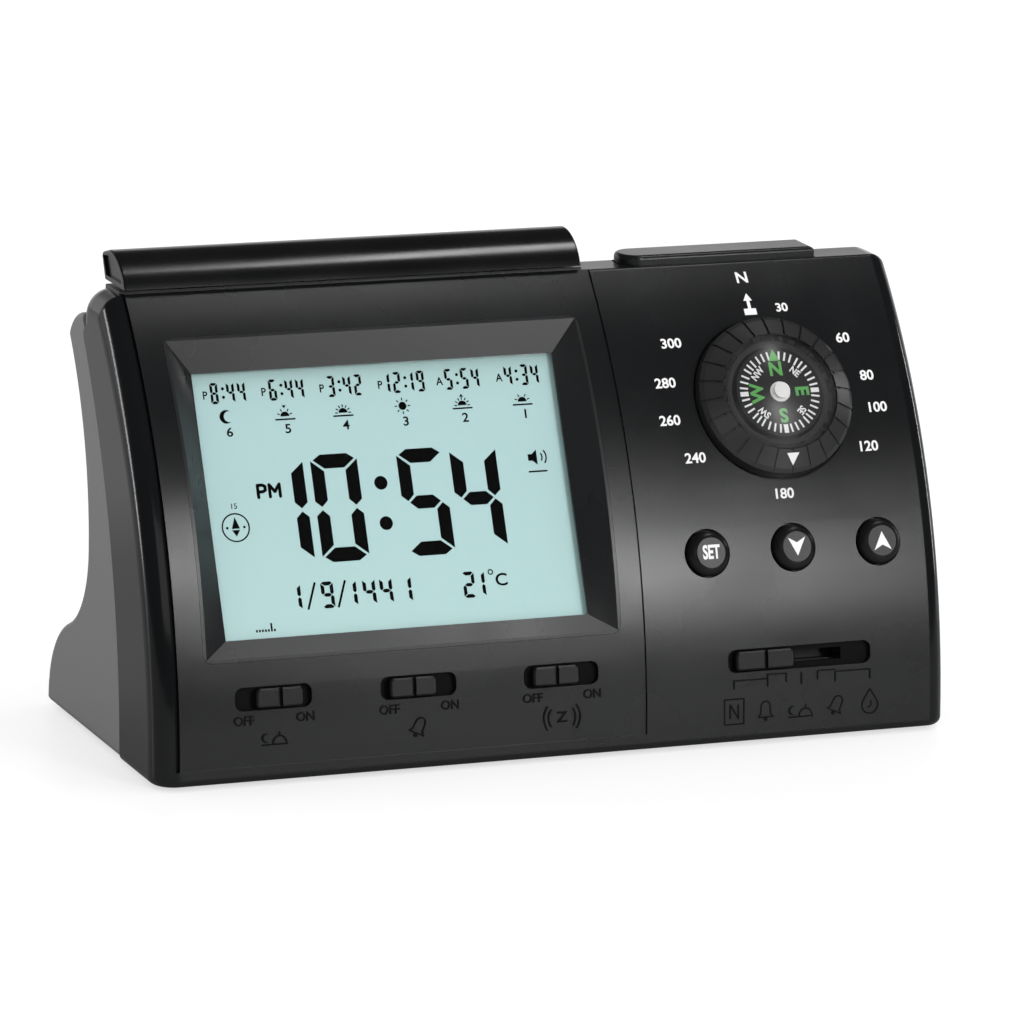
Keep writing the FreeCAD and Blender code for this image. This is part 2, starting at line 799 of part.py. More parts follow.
def add_front_bosses(body):
    """Posts for the case screws, and stand-offs of the key board and the slider board."""
    for height, depth in boss_rows():
        sketch = new_sketch(body, "XZ_Plane", "-%s" % depth)
        draw_circles(sketch, "boss_radius", BOSS_SIDES, height)
        pad(body, sketch, "%s - %s - wall / 2" % (depth, arc_depth("(%s + boss_radius)" % height)))
        sketch = new_sketch(body, "XZ_Plane", "-%s" % depth)
        draw_circles(sketch, "screw_radius", BOSS_SIDES, height)
        pocket(body, sketch, "screw_length - screw_floor + fit_clearance", True)
    for frame, places, drop in ((key_frame(0), KEY_POSTS, "key_board_drop"),
                                (slide_frame(0), SLIDE_POSTS, "slide_board_drop")):
        sketch = new_sketch(body, offset="-%s" % drop, frame=frame)
        draw_circles(sketch, "post_radius", places)
        pad(body, sketch, "%s - post_sink * wall" % drop)
        sketch = new_sketch(body, offset="-%s" % drop, frame=frame)
        draw_circles(sketch, "board_screw_radius", places)
        pocket(body, sketch, "board_screw_grip", True)


def cut_foot_seats(body, depth):
    sketch = new_sketch(body, offset="0")
    for place in ("foot_inset", "(case_width - foot_inset)"):
        draw_circle(sketch, "foot_radius", place, depth)
    pocket(body, sketch, "foot_seat", True)


# ---- rear housing ------------------------------------------------------------------------------

def make_rear_housing():
    body = new_body("rear_housing")
    flare = flare_point("0")
    sketch = new_sketch(body, "YZ_Plane", "rear_inset")
    draw_outline(sketch, [
        ("parting_base", "0"),
        ("case_depth - heel_chamfer", "0"),
        ("case_depth", "heel_height", HEEL_RADIUS, "left"),
        (flare[0], flare[1], "flare_radius", "right"),
        ("waist_depth", "waist_height", BACK_RADIUS, "right"),
        ("shoulder_depth", "shoulder_height", "shoulder_radius", "left"),
        (CROWN_BACK, CROWN_FOOT, "parting_radius", "left"),
    ])
    shell = pad(body, sketch, "case_width - 2 * rear_inset")
    shell = soften(body, shell, "shoulder_rounding",
                   lambda p, e: near(p.y, "shoulder_depth") and near(p.x, "case_width / 2"))
    shell = soften(body, shell, "base_rounding", lambda p, e: on_side(p, "rear_inset") and near(p.z, "0"))
    soften(body, shell, "rear_rounding",
           lambda p, e: on_side(p, "rear_inset") and p.z > number("heel_height") and not on_seam(p))
    hollow_rear(body)
    add_lip(body)
    add_bay(body)
    add_speaker_seat(body)
    add_rear_bosses(body)
    cut_foot_seats(body, "foot_back")
    return body


def hollow_rear(body):
    flare = flare_point("wall")
    inner_back = "(%s + wall)" % BACK_RADIUS
    inner_top = "(shoulder_height - wall / 4)"
    inner_top_depth = "(%s - sqrt(%s^2 - (%s - waist_height)^2))" % (BACK_CENTRE, inner_back, inner_top)
    reach = "(heel_height - wall)"
    sketch = new_sketch(body, "YZ_Plane", "wall")
    draw_outline(sketch, [
        ("parting_base - wall", "wall"),
        ("case_depth - %s + sqrt((%s - wall)^2 - %s^2)" % (HEEL_RADIUS, HEEL_RADIUS, reach), "wall",
         "(%s - wall)" % HEEL_RADIUS, "left"),
        (flare[0], flare[1], "(flare_radius + wall)", "right"),
        ("waist_depth - wall", "waist_height", inner_back, "right"),
        (inner_top_depth, inner_top, "(shoulder_radius - wall)", "left"),
        (CROWN_BACK, SHELL_TOP),
        ("parting_base - wall", SHELL_TOP),
    ])
    pocket(body, sketch, "case_width - 2 * wall", True)


def add_lip(body):
    """A tongue along both sides and the floor that reaches into the front housing."""
    sketch = new_sketch(body, "YZ_Plane", "wall")
    draw_outline(sketch, seam_band("-lip_length", "lip_length", "wall", "lip_height"))
    pad(body, sketch, "case_width - 2 * wall")
    sketch = new_sketch(body, "YZ_Plane", "wall + lip_thickness")
    draw_outline(sketch, seam_band("-2 * lip_length", "3 * lip_length", "wall + lip_thickness",
                                   "lip_height + lip_length"))
    pocket(body, sketch, "case_width - 2 * (wall + lip_thickness)", True)


def seam_band(front, back, low, high):
    """The outline between two copies of the seam, moved forward and back."""
    corners = []
    for shift, heights in ((front, (high, low)), (back, (low, high))):
        centre = "(%s + %s)" % (PARTING_CENTRE, shift)
        corners += [(arc_depth(height, "parting_radius", centre), height) for height in heights]
    side = {0: "left", 2: "right"}
    return [corner + (("parting_radius", side[index]) if index in side else ())
            for index, corner in enumerate(corners)]


BAY_LENGTH = "(cell_length + bay_end_room)"
BAY_WIDTH = "(cell_pitch + 2 * cell_radius + 4 * door_clearance)"
DOOR_TOP = "(door_recess + door_thickness)"
BAY_HEIGHT = "(%s + 2 * cell_radius + 2 * door_clearance)" % DOOR_TOP


def add_bay(body):
    """The battery bay, its frame in the floor and the way in which the door slides."""
    deep = "(case_depth - door_front - 2 * wall)"
    middle = "door_front - wall / 2 + %s / 2" % deep
    sketch = new_sketch(body, offset="wall / 2")
    draw_rectangle(sketch, "door_width + 4 * door_rail", deep, "bay_place", middle)
    pad(body, sketch, "%s + wall / 2" % DOOR_TOP)
    sketch = new_sketch(body, offset="wall / 2")
    draw_rectangle(sketch, "%s + 2 * bay_wall" % BAY_LENGTH, "%s + 2 * bay_wall" % BAY_WIDTH,
                   "bay_place", "bay_depth_place")
    pad(body, sketch, "%s + bay_wall - wall / 2" % BAY_HEIGHT)
    sketch = new_sketch(body, offset="0")
    draw_rectangle(sketch, BAY_LENGTH, BAY_WIDTH, "bay_place", "bay_depth_place")
    pocket(body, sketch, BAY_HEIGHT, True)
    way = "(case_depth - door_front + wall)"
    for low, width in (("0", "door_width"), ("door_recess + door_thickness / 3", "door_width + 2 * door_rail")):
        sketch = new_sketch(body, offset=low)
        draw_rectangle(sketch, "%s + 2 * door_clearance" % width, way, "bay_place", "door_front + %s / 2" % way)
        pocket(body, sketch, "%s + door_clearance / 2 - (%s)" % (DOOR_TOP, low), True)


def add_speaker_seat(body):
    """A round rim inside the back for the loudspeaker, and the slots of its grille."""
    sketch = new_sketch(body, offset="-speaker_seat", frame=SPEAKER)
    draw_circle(sketch, "speaker_radius + speaker_wall")
    draw_circle(sketch, "speaker_radius - speaker_wall")
    pad(body, sketch, "speaker_seat + wall")
    sketch = new_sketch(body, offset="-speaker_seat - speaker_rim", frame=SPEAKER)
    draw_circle(sketch, "speaker_radius + speaker_wall")
    draw_circle(sketch, "speaker_radius + fit_clearance")
    pad(body, sketch, "speaker_rim + fit_clearance")
    sketch = new_sketch(body, offset="2 * wall", frame=SPEAKER)
    side_rows = int(number("grille_side_rows"))
    for row in range(-side_rows, side_rows + 1):
        length = "2 * sqrt(grille_radius^2 - (%d * grille_pitch)^2)" % row
        draw_slot(sketch, length, "grille_slot", "0.499 * grille_slot", "0", "%d * grille_pitch" % row)
    pocket(body, sketch, "2 * wall + speaker_seat")


def add_rear_bosses(body):
    """Posts behind the front housing's, each with a deep way for its screw."""
    for height, depth in boss_rows():
        reach = "(%s - boss_sleeve_radius)" % height
        back = "(%s - sqrt(%s^2 - (%s - waist_height)^2))" % (BACK_CENTRE, BACK_RADIUS, reach)
        if height == "boss_low":
            back = "(case_depth - wall)"
        sketch = new_sketch(body, "XZ_Plane", "-%s" % depth)
        draw_circles(sketch, "boss_sleeve_radius", BOSS_SIDES, height)
        pad(body, sketch, "%s - %s - wall" % (back, depth), True)
        sketch = new_sketch(body, "XZ_Plane", "-%s" % depth)
        draw_circles(sketch, "boss_radius + 2 * fit_clearance", BOSS_SIDES, height)
        pocket(body, sketch, "2 * lip_length + boss_radius", True)
        sketch = new_sketch(body, "XZ_Plane", "-%s" % depth)
        draw_circles(sketch, "screw_radius + 2 * fit_clearance", BOSS_SIDES, height)
        pocket(body, sketch, "2 * screw_floor")
        sketch = new_sketch(body, "XZ_Plane", "-%s - screw_floor" % depth)
        draw_circles(sketch, "screw_head_radius + 2 * fit_clearance", BOSS_SIDES, height)
        pocket(body, sketch, "case_depth")


# ---- case hardware -----------------------------------------------------------------------------

def make_case_screws():
    body = new_body("case_screws")
    for height, depth in boss_rows():
        sketch = new_sketch(body, "XZ_Plane", "-%s - screw_floor" % depth)
        draw_circles(sketch, "screw_radius", BOSS_SIDES, height)
        pad(body, sketch, "screw_length")
        sketch = new_sketch(body, "XZ_Plane", "-%s - screw_floor" % depth)
        draw_circles(sketch, "screw_head_radius", BOSS_SIDES, height)
        pad(body, sketch, "screw_head_height", True)
        cross = "1.2 * screw_head_radius"
        for width, length in (("screw_slot", cross), (cross, "screw_slot")):
            sketch = new_sketch(body, "XZ_Plane", "-%s - screw_floor - screw_head_height" % depth)
            for place in BOSS_SIDES:
                draw_rectangle(sketch, width, length, place, height)
            pocket(body, sketch, "screw_head_height / 2", True)


def make_feet():
    body = new_body("rubber_feet")
    for depth in ("foot_front", "foot_back"):
        for place in ("foot_inset", "(case_width - foot_inset)"):
            cylinder_on(body, "foot_radius", "-foot_lift", "foot_lift + foot_seat", place, depth)


def make_battery_door():
    body = new_body("battery_door")
    length = "(case_depth - door_front - door_clearance - heel_chamfer / 2)"
    middle = "(door_front + door_clearance + %s / 2)" % length
    box_on(body, "door_width", length, "door_recess", "door_thickness", "bay_place", middle)
    box_on(body, "door_width + 2 * door_rail", length, "door_recess + door_thickness / 2", "door_thickness / 2",
           "bay_place", middle)
    sketch = new_sketch(body, offset="door_recess")
    for row in range(int(number("grip_lines"))):
        draw_rectangle(sketch, "door_width / 3", "grip_width", "bay_place",
                       "case_depth - heel_chamfer - %d * grip_pitch" % (row + 2))
    pocket(body, sketch, "door_thickness / 4", True)


def make_batteries():
    body = new_body("batteries")
    level = "(%s + door_clearance + cell_radius)" % DOOR_TOP
    for side, turned in (("-", False), ("+", True)):
        depth = "bay_depth_place %s cell_pitch / 2" % side
        flip = "-" if turned else "+"
        ends = "bay_place %s (-%s / 2 + contact_thickness)" % (flip, BAY_LENGTH)
        sketch = new_sketch(body, "YZ_Plane", ends)
        draw_circle(sketch, "cell_nub_radius", depth, level)
        pad(body, sketch, "2 * cell_nub_length", turned)
        sketch = new_sketch(body, "YZ_Plane", "%s %s cell_nub_length" % (ends, flip))
        draw_circle(sketch, "cell_radius", depth, level)
        pad(body, sketch, "cell_length - cell_nub_length", turned)


def make_contact_plates():
    body = new_body("contact_plates")
    level = "(%s + door_clearance + cell_radius)" % DOOR_TOP
    for side, turned in (("-", False), ("+", True)):
        for flip in ("+", "-"):
            sketch = new_sketch(body, "YZ_Plane", "bay_place %s (-%s / 2)" % (flip, BAY_LENGTH))
            draw_rectangle(sketch, "1.7 * cell_radius", "1.7 * cell_radius",
                           "bay_depth_place %s cell_pitch / 2" % side, level)
            pad(body, sketch, "contact_thickness", flip == "-")


def make_contact_springs():
    """Two springs that press the flat ends of the cells."""
    body = new_body("contact_springs")
    room = "(bay_end_room - 2 * contact_thickness)"
    for side, flip in (("-", "-"), ("+", "+")):
        start = "bay_place %s (-%s / 2 + contact_thickness + spring_wire / 2)" % (flip, BAY_LENGTH)
        frame = {"x": start, "y": "bay_depth_place %s cell_pitch / 2" % side,
                 "z": "(%s + door_clearance + cell_radius)" % DOOR_TOP, "turn": None}
        sketch = new_sketch(body, frame=frame)
        draw_circle(sketch, "spring_wire / 2", "0", "0.6 * cell_radius")
        coil = body.newObject("PartDesign::AdditiveHelix", "coil")
        coil.Profile = sketch
        coil.ReferenceAxis = (sketch, ["H_Axis"])
        coil.Mode = 0
        bind(coil, "Height", "%s - spring_wire - 2 * fit_clearance" % room)
        bind(coil, "Pitch", "(%s - spring_wire) / spring_turns" % room)
        coil.Reversed = flip == "-"
        settle(body, coil)


# ---- display -----------------------------------------------------------------------------------

def make_display_bezel():
    """A deep frame: its front follows the case and its inner sides fall to the flat window."""
    arm = number(DISPLAY_ARM)
    radius = number(LEFT_FACE)
    across = number("bezel_width / 2")
    up = number("bezel_height / 2")
    rim = number("bezel_rim")
    lip = number("bezel_lip")
    shift = number("window_shift")
    window = [number("window_width / 2"), number("window_height / 2")]

    def on_face(x, y):
        return FreeCAD.Vector(x, y, math.sqrt(radius ** 2 - y ** 2) - arm)

    def face_arc(x, low, high):
        return Part.Arc(on_face(x, low), on_face(x, (low + high) / 2), on_face(x, high)).toShape()

    def line(start, end):
        return Part.makeLine(start, end)

    flat = [FreeCAD.Vector(-across, -up, 0), FreeCAD.Vector(-across, up, 0)]
    side = Part.Face(Part.Wire([line(flat[0], on_face(-across, -up)), face_arc(-across, -up, up),
                                line(on_face(-across, up), flat[1]), line(flat[1], flat[0])]))
    slab = side.extrude(FreeCAD.Vector(2 * across, 0, 0))
    corners = [edge for edge in slab.Edges
               if abs(edge.CenterOfMass.x) > across - 0.01 and abs(edge.CenterOfMass.y) > up - 0.01]
    slab = slab.makeFillet(number("bezel_rounding"), corners)
    inner = [FreeCAD.Vector(x * window[0], y * window[1] + shift, lip)
             for x, y in ((-1, -1), (1, -1), (1, 1), (-1, 1))]
    reach = [across - rim, up - rim]
    outer = [on_face(x * reach[0], y * reach[1]) for x, y in ((-1, -1), (1, -1), (1, 1), (-1, 1))]
    left = face_arc(-reach[0], -reach[1], reach[1])
    right = face_arc(reach[0], -reach[1], reach[1])
    pairs = [(line(inner[0], inner[1]), line(outer[0], outer[1])), (line(inner[1], inner[2]), right),
             (line(inner[3], inner[2]), line(outer[3], outer[2])), (line(inner[0], inner[3]), left)]
    faces = [Part.makeRuledSurface(low, high) for low, high in pairs]
    faces.append(Part.Face(Part.makePolygon(inner + [inner[0]])))
    faces.append(left.extrude(FreeCAD.Vector(2 * reach[0], 0, 0)))
    shell = Part.makeShell(faces)
    shell.sewShape()
    funnel = Part.makeSolid(shell)
    through = Part.makeBox(2 * window[0], 2 * window[1], 2 * lip, inner[0] - FreeCAD.Vector(0, 0, 2 * lip))
    bezel = doc.addObject("Part::Feature", "display_bezel")
    bezel.Label = "display_bezel"
    bezel.Shape = slab.cut(funnel).cut(through).removeSplitter()
    bind_placement(bezel, "Placement", DISPLAY, True)
    BODIES.append(bezel)


GLASS_LEVEL = "(cover_thickness + fit_clearance)"
LIGHT_LEVEL = "(%s + glass_thickness)" % GLASS_LEVEL
BOARD_LEVEL = "(%s + backlight_thickness + fit_clearance)" % LIGHT_LEVEL
COVER_WIDTH = "(window_width + 2 * cover_margin)"
COVER_HEIGHT = "(window_height + 2 * cover_margin)"
GLASS_WIDTH = "(window_width + 2 * glass_margin)"
GLASS_HEIGHT = "(window_height + 2 * glass_margin)"


def make_display_stack():
    cover = new_body("display_window", DISPLAY)
    box_on(cover, COVER_WIDTH, COVER_HEIGHT, "-cover_thickness", "cover_thickness", "0", "window_shift")
    glass = new_body("lcd_glass", DISPLAY)
    box_on(glass, GLASS_WIDTH, GLASS_HEIGHT, "-%s" % LIGHT_LEVEL, "glass_thickness", "0", "window_shift")
    light = new_body("backlight_panel", DISPLAY)
    box_on(light, GLASS_WIDTH, "%s - 2 * zebra_width - 4 * fit_clearance" % GLASS_HEIGHT,
           "-%s - backlight_thickness" % LIGHT_LEVEL, "backlight_thickness", "0", "window_shift")
    strips = new_body("zebra_strips", DISPLAY)
    for side in ("+", "-"):
        box_on(strips, GLASS_WIDTH, "zebra_width", "-%s" % BOARD_LEVEL, "%s - %s" % (BOARD_LEVEL, LIGHT_LEVEL),
               "0", "window_shift %s (%s - zebra_width) / 2" % (side, GLASS_HEIGHT))
    holder = new_body("lcd_holder", DISPLAY)
    box_on(holder, "bezel_width - 2 * fit_clearance", "bezel_height - 2 * fit_clearance",
           "-cover_thickness", "cover_thickness")
    box_on(holder, "%s + 2 * holder_wall" % GLASS_WIDTH, "%s + 2 * holder_wall" % GLASS_HEIGHT,
           "-%s" % BOARD_LEVEL, "%s - cover_thickness / 2" % BOARD_LEVEL, "0", "window_shift")
    for across, up in ear_places():
        cylinder_on(holder, "ear_radius", "-%s" % BOARD_LEVEL, BOARD_LEVEL, across, up)
        inward = "-" if across[0] != "-" else "+"
        box_on(holder, "ear_arm", "2 * ear_radius", "-%s" % BOARD_LEVEL, BOARD_LEVEL,
               "%s %s ear_arm / 2" % (across, inward), up)
    sketch = new_sketch(holder, offset="cover_thickness")
    draw_rectangle(sketch, "%s + 2 * fit_clearance" % COVER_WIDTH, "%s + 2 * fit_clearance" % COVER_HEIGHT,
                   "0", "window_shift")
    pocket(holder, sketch, "2 * cover_thickness")
    sketch = new_sketch(holder, offset="0")
    draw_rectangle(sketch, "%s + 2 * fit_clearance" % GLASS_WIDTH, "%s + 2 * fit_clearance" % GLASS_HEIGHT,
                   "0", "window_shift")
    pocket(holder, sketch, "2 * %s" % BOARD_LEVEL)
    for across, up in ear_places():
        hole_down(holder, "board_screw_radius + fit_clearance", "cover_thickness", "2 * %s" % BOARD_LEVEL,
                  across, up)


def make_main_board():
    """The board behind the glass, its upper left corner cut out round the post of the case."""
    board = new_body("main_board", DISPLAY)
    level = "-%s - board_thickness" % BOARD_LEVEL
    box_on(board, "2 * (ear_reach + ear_radius)", "main_board_height", level, "board_thickness", "0",
           "window_shift")
    side = "(boss_inset + boss_radius + board_corner_room - display_place)"
    post_foot = "(boss_high - boss_radius - board_corner_room - (%s))" % DISPLAY["z"]
    foot = "((%s + %s * sin(display_lean)) / cos(display_lean))" % (post_foot, BOARD_LEVEL)
    sketch = new_sketch(board, offset="-%s + board_thickness" % BOARD_LEVEL)
    draw_outline(sketch, [("-ear_reach - 2 * ear_radius", foot), (side, foot), (side, "main_board_height"),
                          ("-ear_reach - 2 * ear_radius", "main_board_height")])
    pocket(board, sketch, "3 * board_thickness")
    for across, up in ear_places():
        hole_down(board, "board_screw_radius + fit_clearance", "-%s + wall" % BOARD_LEVEL,
                  "2 * wall + board_thickness", across, up)
    blob = new_body("chip_blob", DISPLAY)
    revolve_at(blob, "blob_radius", "blob_height", level)
    crystal = new_body("quartz_crystal", DISPLAY)
    sketch = new_sketch(crystal, offset=level)
    draw_slot(sketch, "3 * crystal_radius", "2 * crystal_radius", "0.999 * crystal_radius", "ear_reach / 2",
              "ear_high")
    pad(crystal, sketch, "crystal_height", True)
    capacitors = new_body("capacitors", DISPLAY)
    for place in ("-ear_reach / 2", "-ear_reach / 3", "ear_reach / 1.4"):
        sketch = new_sketch(capacitors, offset=level)
        draw_circle(sketch, "capacitor_radius", place, "ear_low")
        pad(capacitors, sketch, "capacitor_height", True)


def revolve_at(body, radius, height, level):
    """A low dome that hangs under a level."""
    dome_radius = "((%s)^2 + (%s)^2) / (2 * %s)" % (radius, height, height)
    revolve(body, [("0", level), ("0", "%s - %s" % (level, height), dome_radius, "left"), (radius, level)])


# ---- compass -----------------------------------------------------------------------------------

def make_compass():
    cup = new_body("compass_cup", COMPASS)
    revolve(cup, [
        ("0", "-cup_depth - cup_floor"),
        ("cup_radius", "-cup_depth - cup_floor"),
        ("cup_radius", "-seat_depth"),
        ("collar_radius", "-seat_depth"),
        ("collar_radius", "collar_top"),
        ("cup_bore", "collar_top"),
        ("cup_bore", "-cup_depth"),
        ("0", "-cup_depth"),
    ])
    pivot = new_body("compass_pivot", COMPASS)
    revolve(pivot, [
        ("0", "-cup_depth"),
        ("4 * pivot_radius", "-cup_depth"),
        ("pivot_radius", "card_height - 1.5 * magnet_thickness"),
        ("pivot_radius", "card_height + card_thickness"),
        ("0", "card_height + card_thickness + pivot_radius"),
    ])
    card = new_body("compass_card", COMPASS)
    revolve(card, [
        ("pivot_radius + cap_room", "card_height"),
        ("card_radius", "card_height"),
        ("card_radius", "card_height + card_thickness"),
        ("pivot_radius + cap_room", "card_height + card_thickness"),
    ])
    magnet = new_body("compass_magnet", COMPASS)
    revolve(magnet, [
        ("pivot_radius + 2 * cap_room", "card_height - magnet_thickness"),
        ("magnet_radius", "card_height - magnet_thickness"),
        ("magnet_radius", "card_height"),
        ("pivot_radius + 2 * cap_room", "card_height"),
    ])
    cap = new_body("needle_cap", COMPASS)
    crown = "card_height + card_thickness"
    revolve(cap, [
        ("pivot_radius + cap_room", crown),
        ("cap_flange_radius", crown),
        ("cap_flange_radius", "%s + cap_flange" % crown),
        ("cap_neck_radius", "%s + cap_flange" % crown),
        ("cap_neck_radius", "%s + cap_height - cap_flange" % crown),
        ("cap_radius", "%s + cap_height - cap_flange" % crown),
        ("cap_radius", "%s + cap_height" % crown),
        ("0", "%s + cap_height" % crown),
        ("0", "%s + pivot_radius + cap_room" % crown),
        ("pivot_radius + cap_room", "%s + cap_room" % crown),
    ])
    make_compass_ring()
    make_compass_lens()


LENS_BRIM_TOP = "(collar_top + lens_brim)"


def make_compass_ring():
    """A turning ring with a sloping face; a slot inside it runs round the brim of the lens."""
    ring = new_body("compass_ring", COMPASS)
    bore = "(collar_radius + turn_clearance)"
    mouth = "(lens_radius + 3 * turn_clearance)"
    slot = "(lens_flange + turn_clearance)"
    revolve(ring, [
        (bore, "-seat_depth + ring_gap"),
        ("ring_radius", "-seat_depth + ring_gap"),
        ("ring_radius", "ring_top - ring_rounding"),
        ("ring_radius - ring_rounding", "ring_top"),
        (mouth, "ring_crest"),
        (mouth, "%s + turn_clearance" % LENS_BRIM_TOP),
        (slot, "%s + turn_clearance" % LENS_BRIM_TOP),
        (slot, "collar_top - turn_clearance"),
        (bore, "collar_top - turn_clearance"),
    ])
    sketch = new_sketch(ring, "XZ_Plane", "ring_groove_width / 2")
    draw_outline(sketch, [
        ("ring_radius - ring_rounding", "ring_top - ring_groove_depth"),
        ("ring_radius", "ring_top - ring_rounding - ring_groove_depth"),
        ("ring_radius + ring_rounding", "ring_top - ring_rounding"),
        ("ring_radius + ring_rounding", "ring_crest + ring_rounding"),
        ("%s - ring_rounding" % mouth, "ring_crest + ring_rounding"),
        ("%s - ring_rounding" % mouth, "ring_crest - ring_groove_depth"),
        (mouth, "ring_crest - ring_groove_depth"),
    ])
    groove = pocket(ring, sketch, "ring_groove_width")
    pattern = ring.newObject("PartDesign::PolarPattern", "ring_grooves")
    pattern.Originals = [groove]
    pattern.Axis = (sketch, ["V_Axis"])
    pattern.Angle = 360
    bind(pattern, "Occurrences", "ring_grooves")
    ring.Tip = pattern
    doc.recompute()


def make_compass_lens():
    """A clear dome on a short skirt, with a brim that holds the ring down."""
    lens = new_body("compass_lens", COMPASS)
    skirt_top = "(%s + lens_skirt)" % LENS_BRIM_TOP
    inside = "(lens_radius - lens_wall)"
    inner_rise = "(lens_rise - lens_wall / 2)"
    revolve(lens, [
        (inside, "collar_top"),
        ("lens_flange", "collar_top"),
        ("lens_flange", LENS_BRIM_TOP),
        ("lens_radius", LENS_BRIM_TOP),
        ("lens_radius", skirt_top, "((lens_radius^2 + lens_rise^2) / (2 * lens_rise))", "left"),
        ("0", "%s + lens_rise" % skirt_top),
        ("0", "%s + lens_rise - lens_wall" % skirt_top,
         "((%s^2 + %s^2) / (2 * %s))" % (inside, inner_rise, inner_rise), "right"),
        (inside, "%s - lens_wall / 2" % skirt_top),
    ])


# ---- front controls ----------------------------------------------------------------------------

KEY_LABELS = ["set_button", "down_button", "up_button"]
DOME_TOP = "(-key_board_drop + keypad_thickness + dome_height)"
KEY_FOOT = "(%s + key_travel + fit_clearance)" % DOME_TOP


def make_keys():
    for index, label in enumerate(KEY_LABELS):
        key = new_body(label, key_frame(index))
        flange_top = "-(wall + key_clearance)"
        crown_rise = "(key_rise - key_skirt_rise)"
        crown_run = "(key_radius - key_top_radius)"
        crown = "((%s^2 + %s^2) / (2 * %s))" % (crown_rise, crown_run, crown_rise)
        revolve(key, [
            ("0", KEY_FOOT),
            ("key_stem_radius", KEY_FOOT),
            ("key_stem_radius", "%s - key_flange" % flange_top),
            ("key_radius + key_flange", "%s - key_flange" % flange_top),
            ("key_radius + key_flange", flange_top),
            ("key_radius", flange_top),
            ("key_radius", "key_skirt_rise", "1.3 * %s" % crown, "left"),
            ("key_top_radius", "key_rise"),
            ("0", "key_rise"),
        ])


def make_key_boards():
    board = new_body("key_board", key_frame(0))
    level = "-key_board_drop - board_thickness"
    box_on(board, "3 * key_pitch - post_radius", "key_board_height", level, "board_thickness", "key_pitch", "0")
    for place in KEY_POSTS:
        hole_down(board, "board_screw_radius + fit_clearance", "-key_board_drop + wall",
                  "2 * wall + board_thickness", place)
    membrane = new_body("keypad_membrane", key_frame(0))
    box_on(membrane, "2 * key_pitch + 3 * key_stem_radius", "key_board_height", "-key_board_drop",
           "keypad_thickness", "key_pitch", "0")
    for place in KEY_POSTS:
        hole_down(membrane, "post_radius + fit_clearance", "0", "key_board_drop", place)
    for index in range(3):
        cylinder_on(membrane, "key_stem_radius + dome_height", "-key_board_drop + keypad_thickness / 2",
                    "dome_height + keypad_thickness / 2", "%d * key_pitch" % index)


SLIDERS = [("azan_switch_knob", 0, "slide_travel / 2"), ("alarm_switch_knob", 1, "-slide_travel / 2"),
           ("snooze_switch_knob", 2, "-slide_travel / 2")]


def make_sliders():
    for label, index, offset in SLIDERS:
        frame = dict(slide_frame(index))
        frame["x"] = "%s + %s" % (frame["x"], offset)
        make_knob(label, frame, "knob_length")
    frame = dict(MODE)
    frame["x"] = "%s - mode_travel / 2" % frame["x"]
    make_knob("mode_switch_knob", frame, "mode_knob_length")


def make_knob(label, frame, length):
    knob = new_body(label, frame)
    low = "(fit_clearance * 2 - slot_depth)"
    sketch = new_sketch(knob, offset=low)
    draw_slot(sketch, length, "knob_width", "slot_rounding / 2")
    block = pad(knob, sketch, "knob_rise - %s" % low)
    soften(knob, block, "knob_edge", lambda p, e: near(p.z, "knob_rise"), "Chamfer")
    sketch = new_sketch(knob, offset="knob_rise + knob_groove")
    draw_rectangle(sketch, "knob_groove", "2 * knob_width")
    pocket(knob, sketch, "2 * knob_groove")
    foot = "(-slide_board_drop + switch_body_height / 2)"
    sketch = new_sketch(knob, offset=foot)
    draw_rectangle(sketch, "stem_length", "stem_width")
    pad(knob, sketch, "%s - %s + knob_groove / 2" % (low, foot))
    sketch = new_sketch(knob, offset="-wall - 2 * keeper_thickness")
    draw_rectangle(sketch, "stem_length + 2 * keeper_thickness", "knob_width")
    pad(knob, sketch, "keeper_thickness")


def make_slider_board():
    board = new_body("slider_board", slide_frame(0))
    level = "-slide_board_drop - board_thickness"
    start = "(-slot_length / 2)"
    length = "(%s + post_radius - %s)" % (SLIDE_END, start)
    box_on(board, length, "slider_board_height", level, "board_thickness", "%s + %s / 2" % (start, length), "0")
    for place in SLIDE_POSTS:
        hole_down(board, "board_screw_radius + fit_clearance", "-slide_board_drop + wall",
                  "2 * wall + board_thickness", place)
    switches = new_body("slide_switches", slide_frame(0))
    places = [("%d * slide_pitch" % index, "slide_travel") for index in range(3)]
    places.append(("mode_place - slide_place", "mode_travel"))
    for place, travel in places:
        box_on(switches, "%s + 2 * keeper_thickness" % (STEM_SLOT % travel), "switch_body_width",
               "-slide_board_drop", "switch_body_height", place)
        sketch = new_sketch(switches, offset="0")
        draw_rectangle(sketch, STEM_SLOT % travel, "stem_width + 2 * stem_clearance", place)
        pocket(switches, sketch, "slide_board_drop - switch_body_height / 3")


# ---- top controls ------------------------------------------------------------------------------

LEG_FOOT = "(top_board_height + board_thickness + tact_height + bar_travel + fit_clearance)"


def draw_bar_outline(sketch, rim):
    """The bar's section: a flat foot, a short back and a round front, or the same moved in by a rim."""
    front = "(%s - bar_overhang)" % TOP_FRONT
    draw_outline(sketch, [
        ("%s + 2 * (%s)" % (front, rim), "%s + %s" % (BAR_LOW, rim)),
        ("%s + bar_foot_depth - %s" % (front, rim), "%s + %s" % (BAR_LOW, rim)),
        ("%s + bar_depth - 1.2 * (%s)" % (front, rim), "%s + bar_back_rise - (%s) / 2" % (BAR_LOW, rim)),
        ("%s + bar_crown - (%s) / 2" % (front, rim), "%s + bar_rise - 1.2 * (%s)" % (BAR_LOW, rim),
         "bar_front_radius - %s" % rim, "left"),
    ])


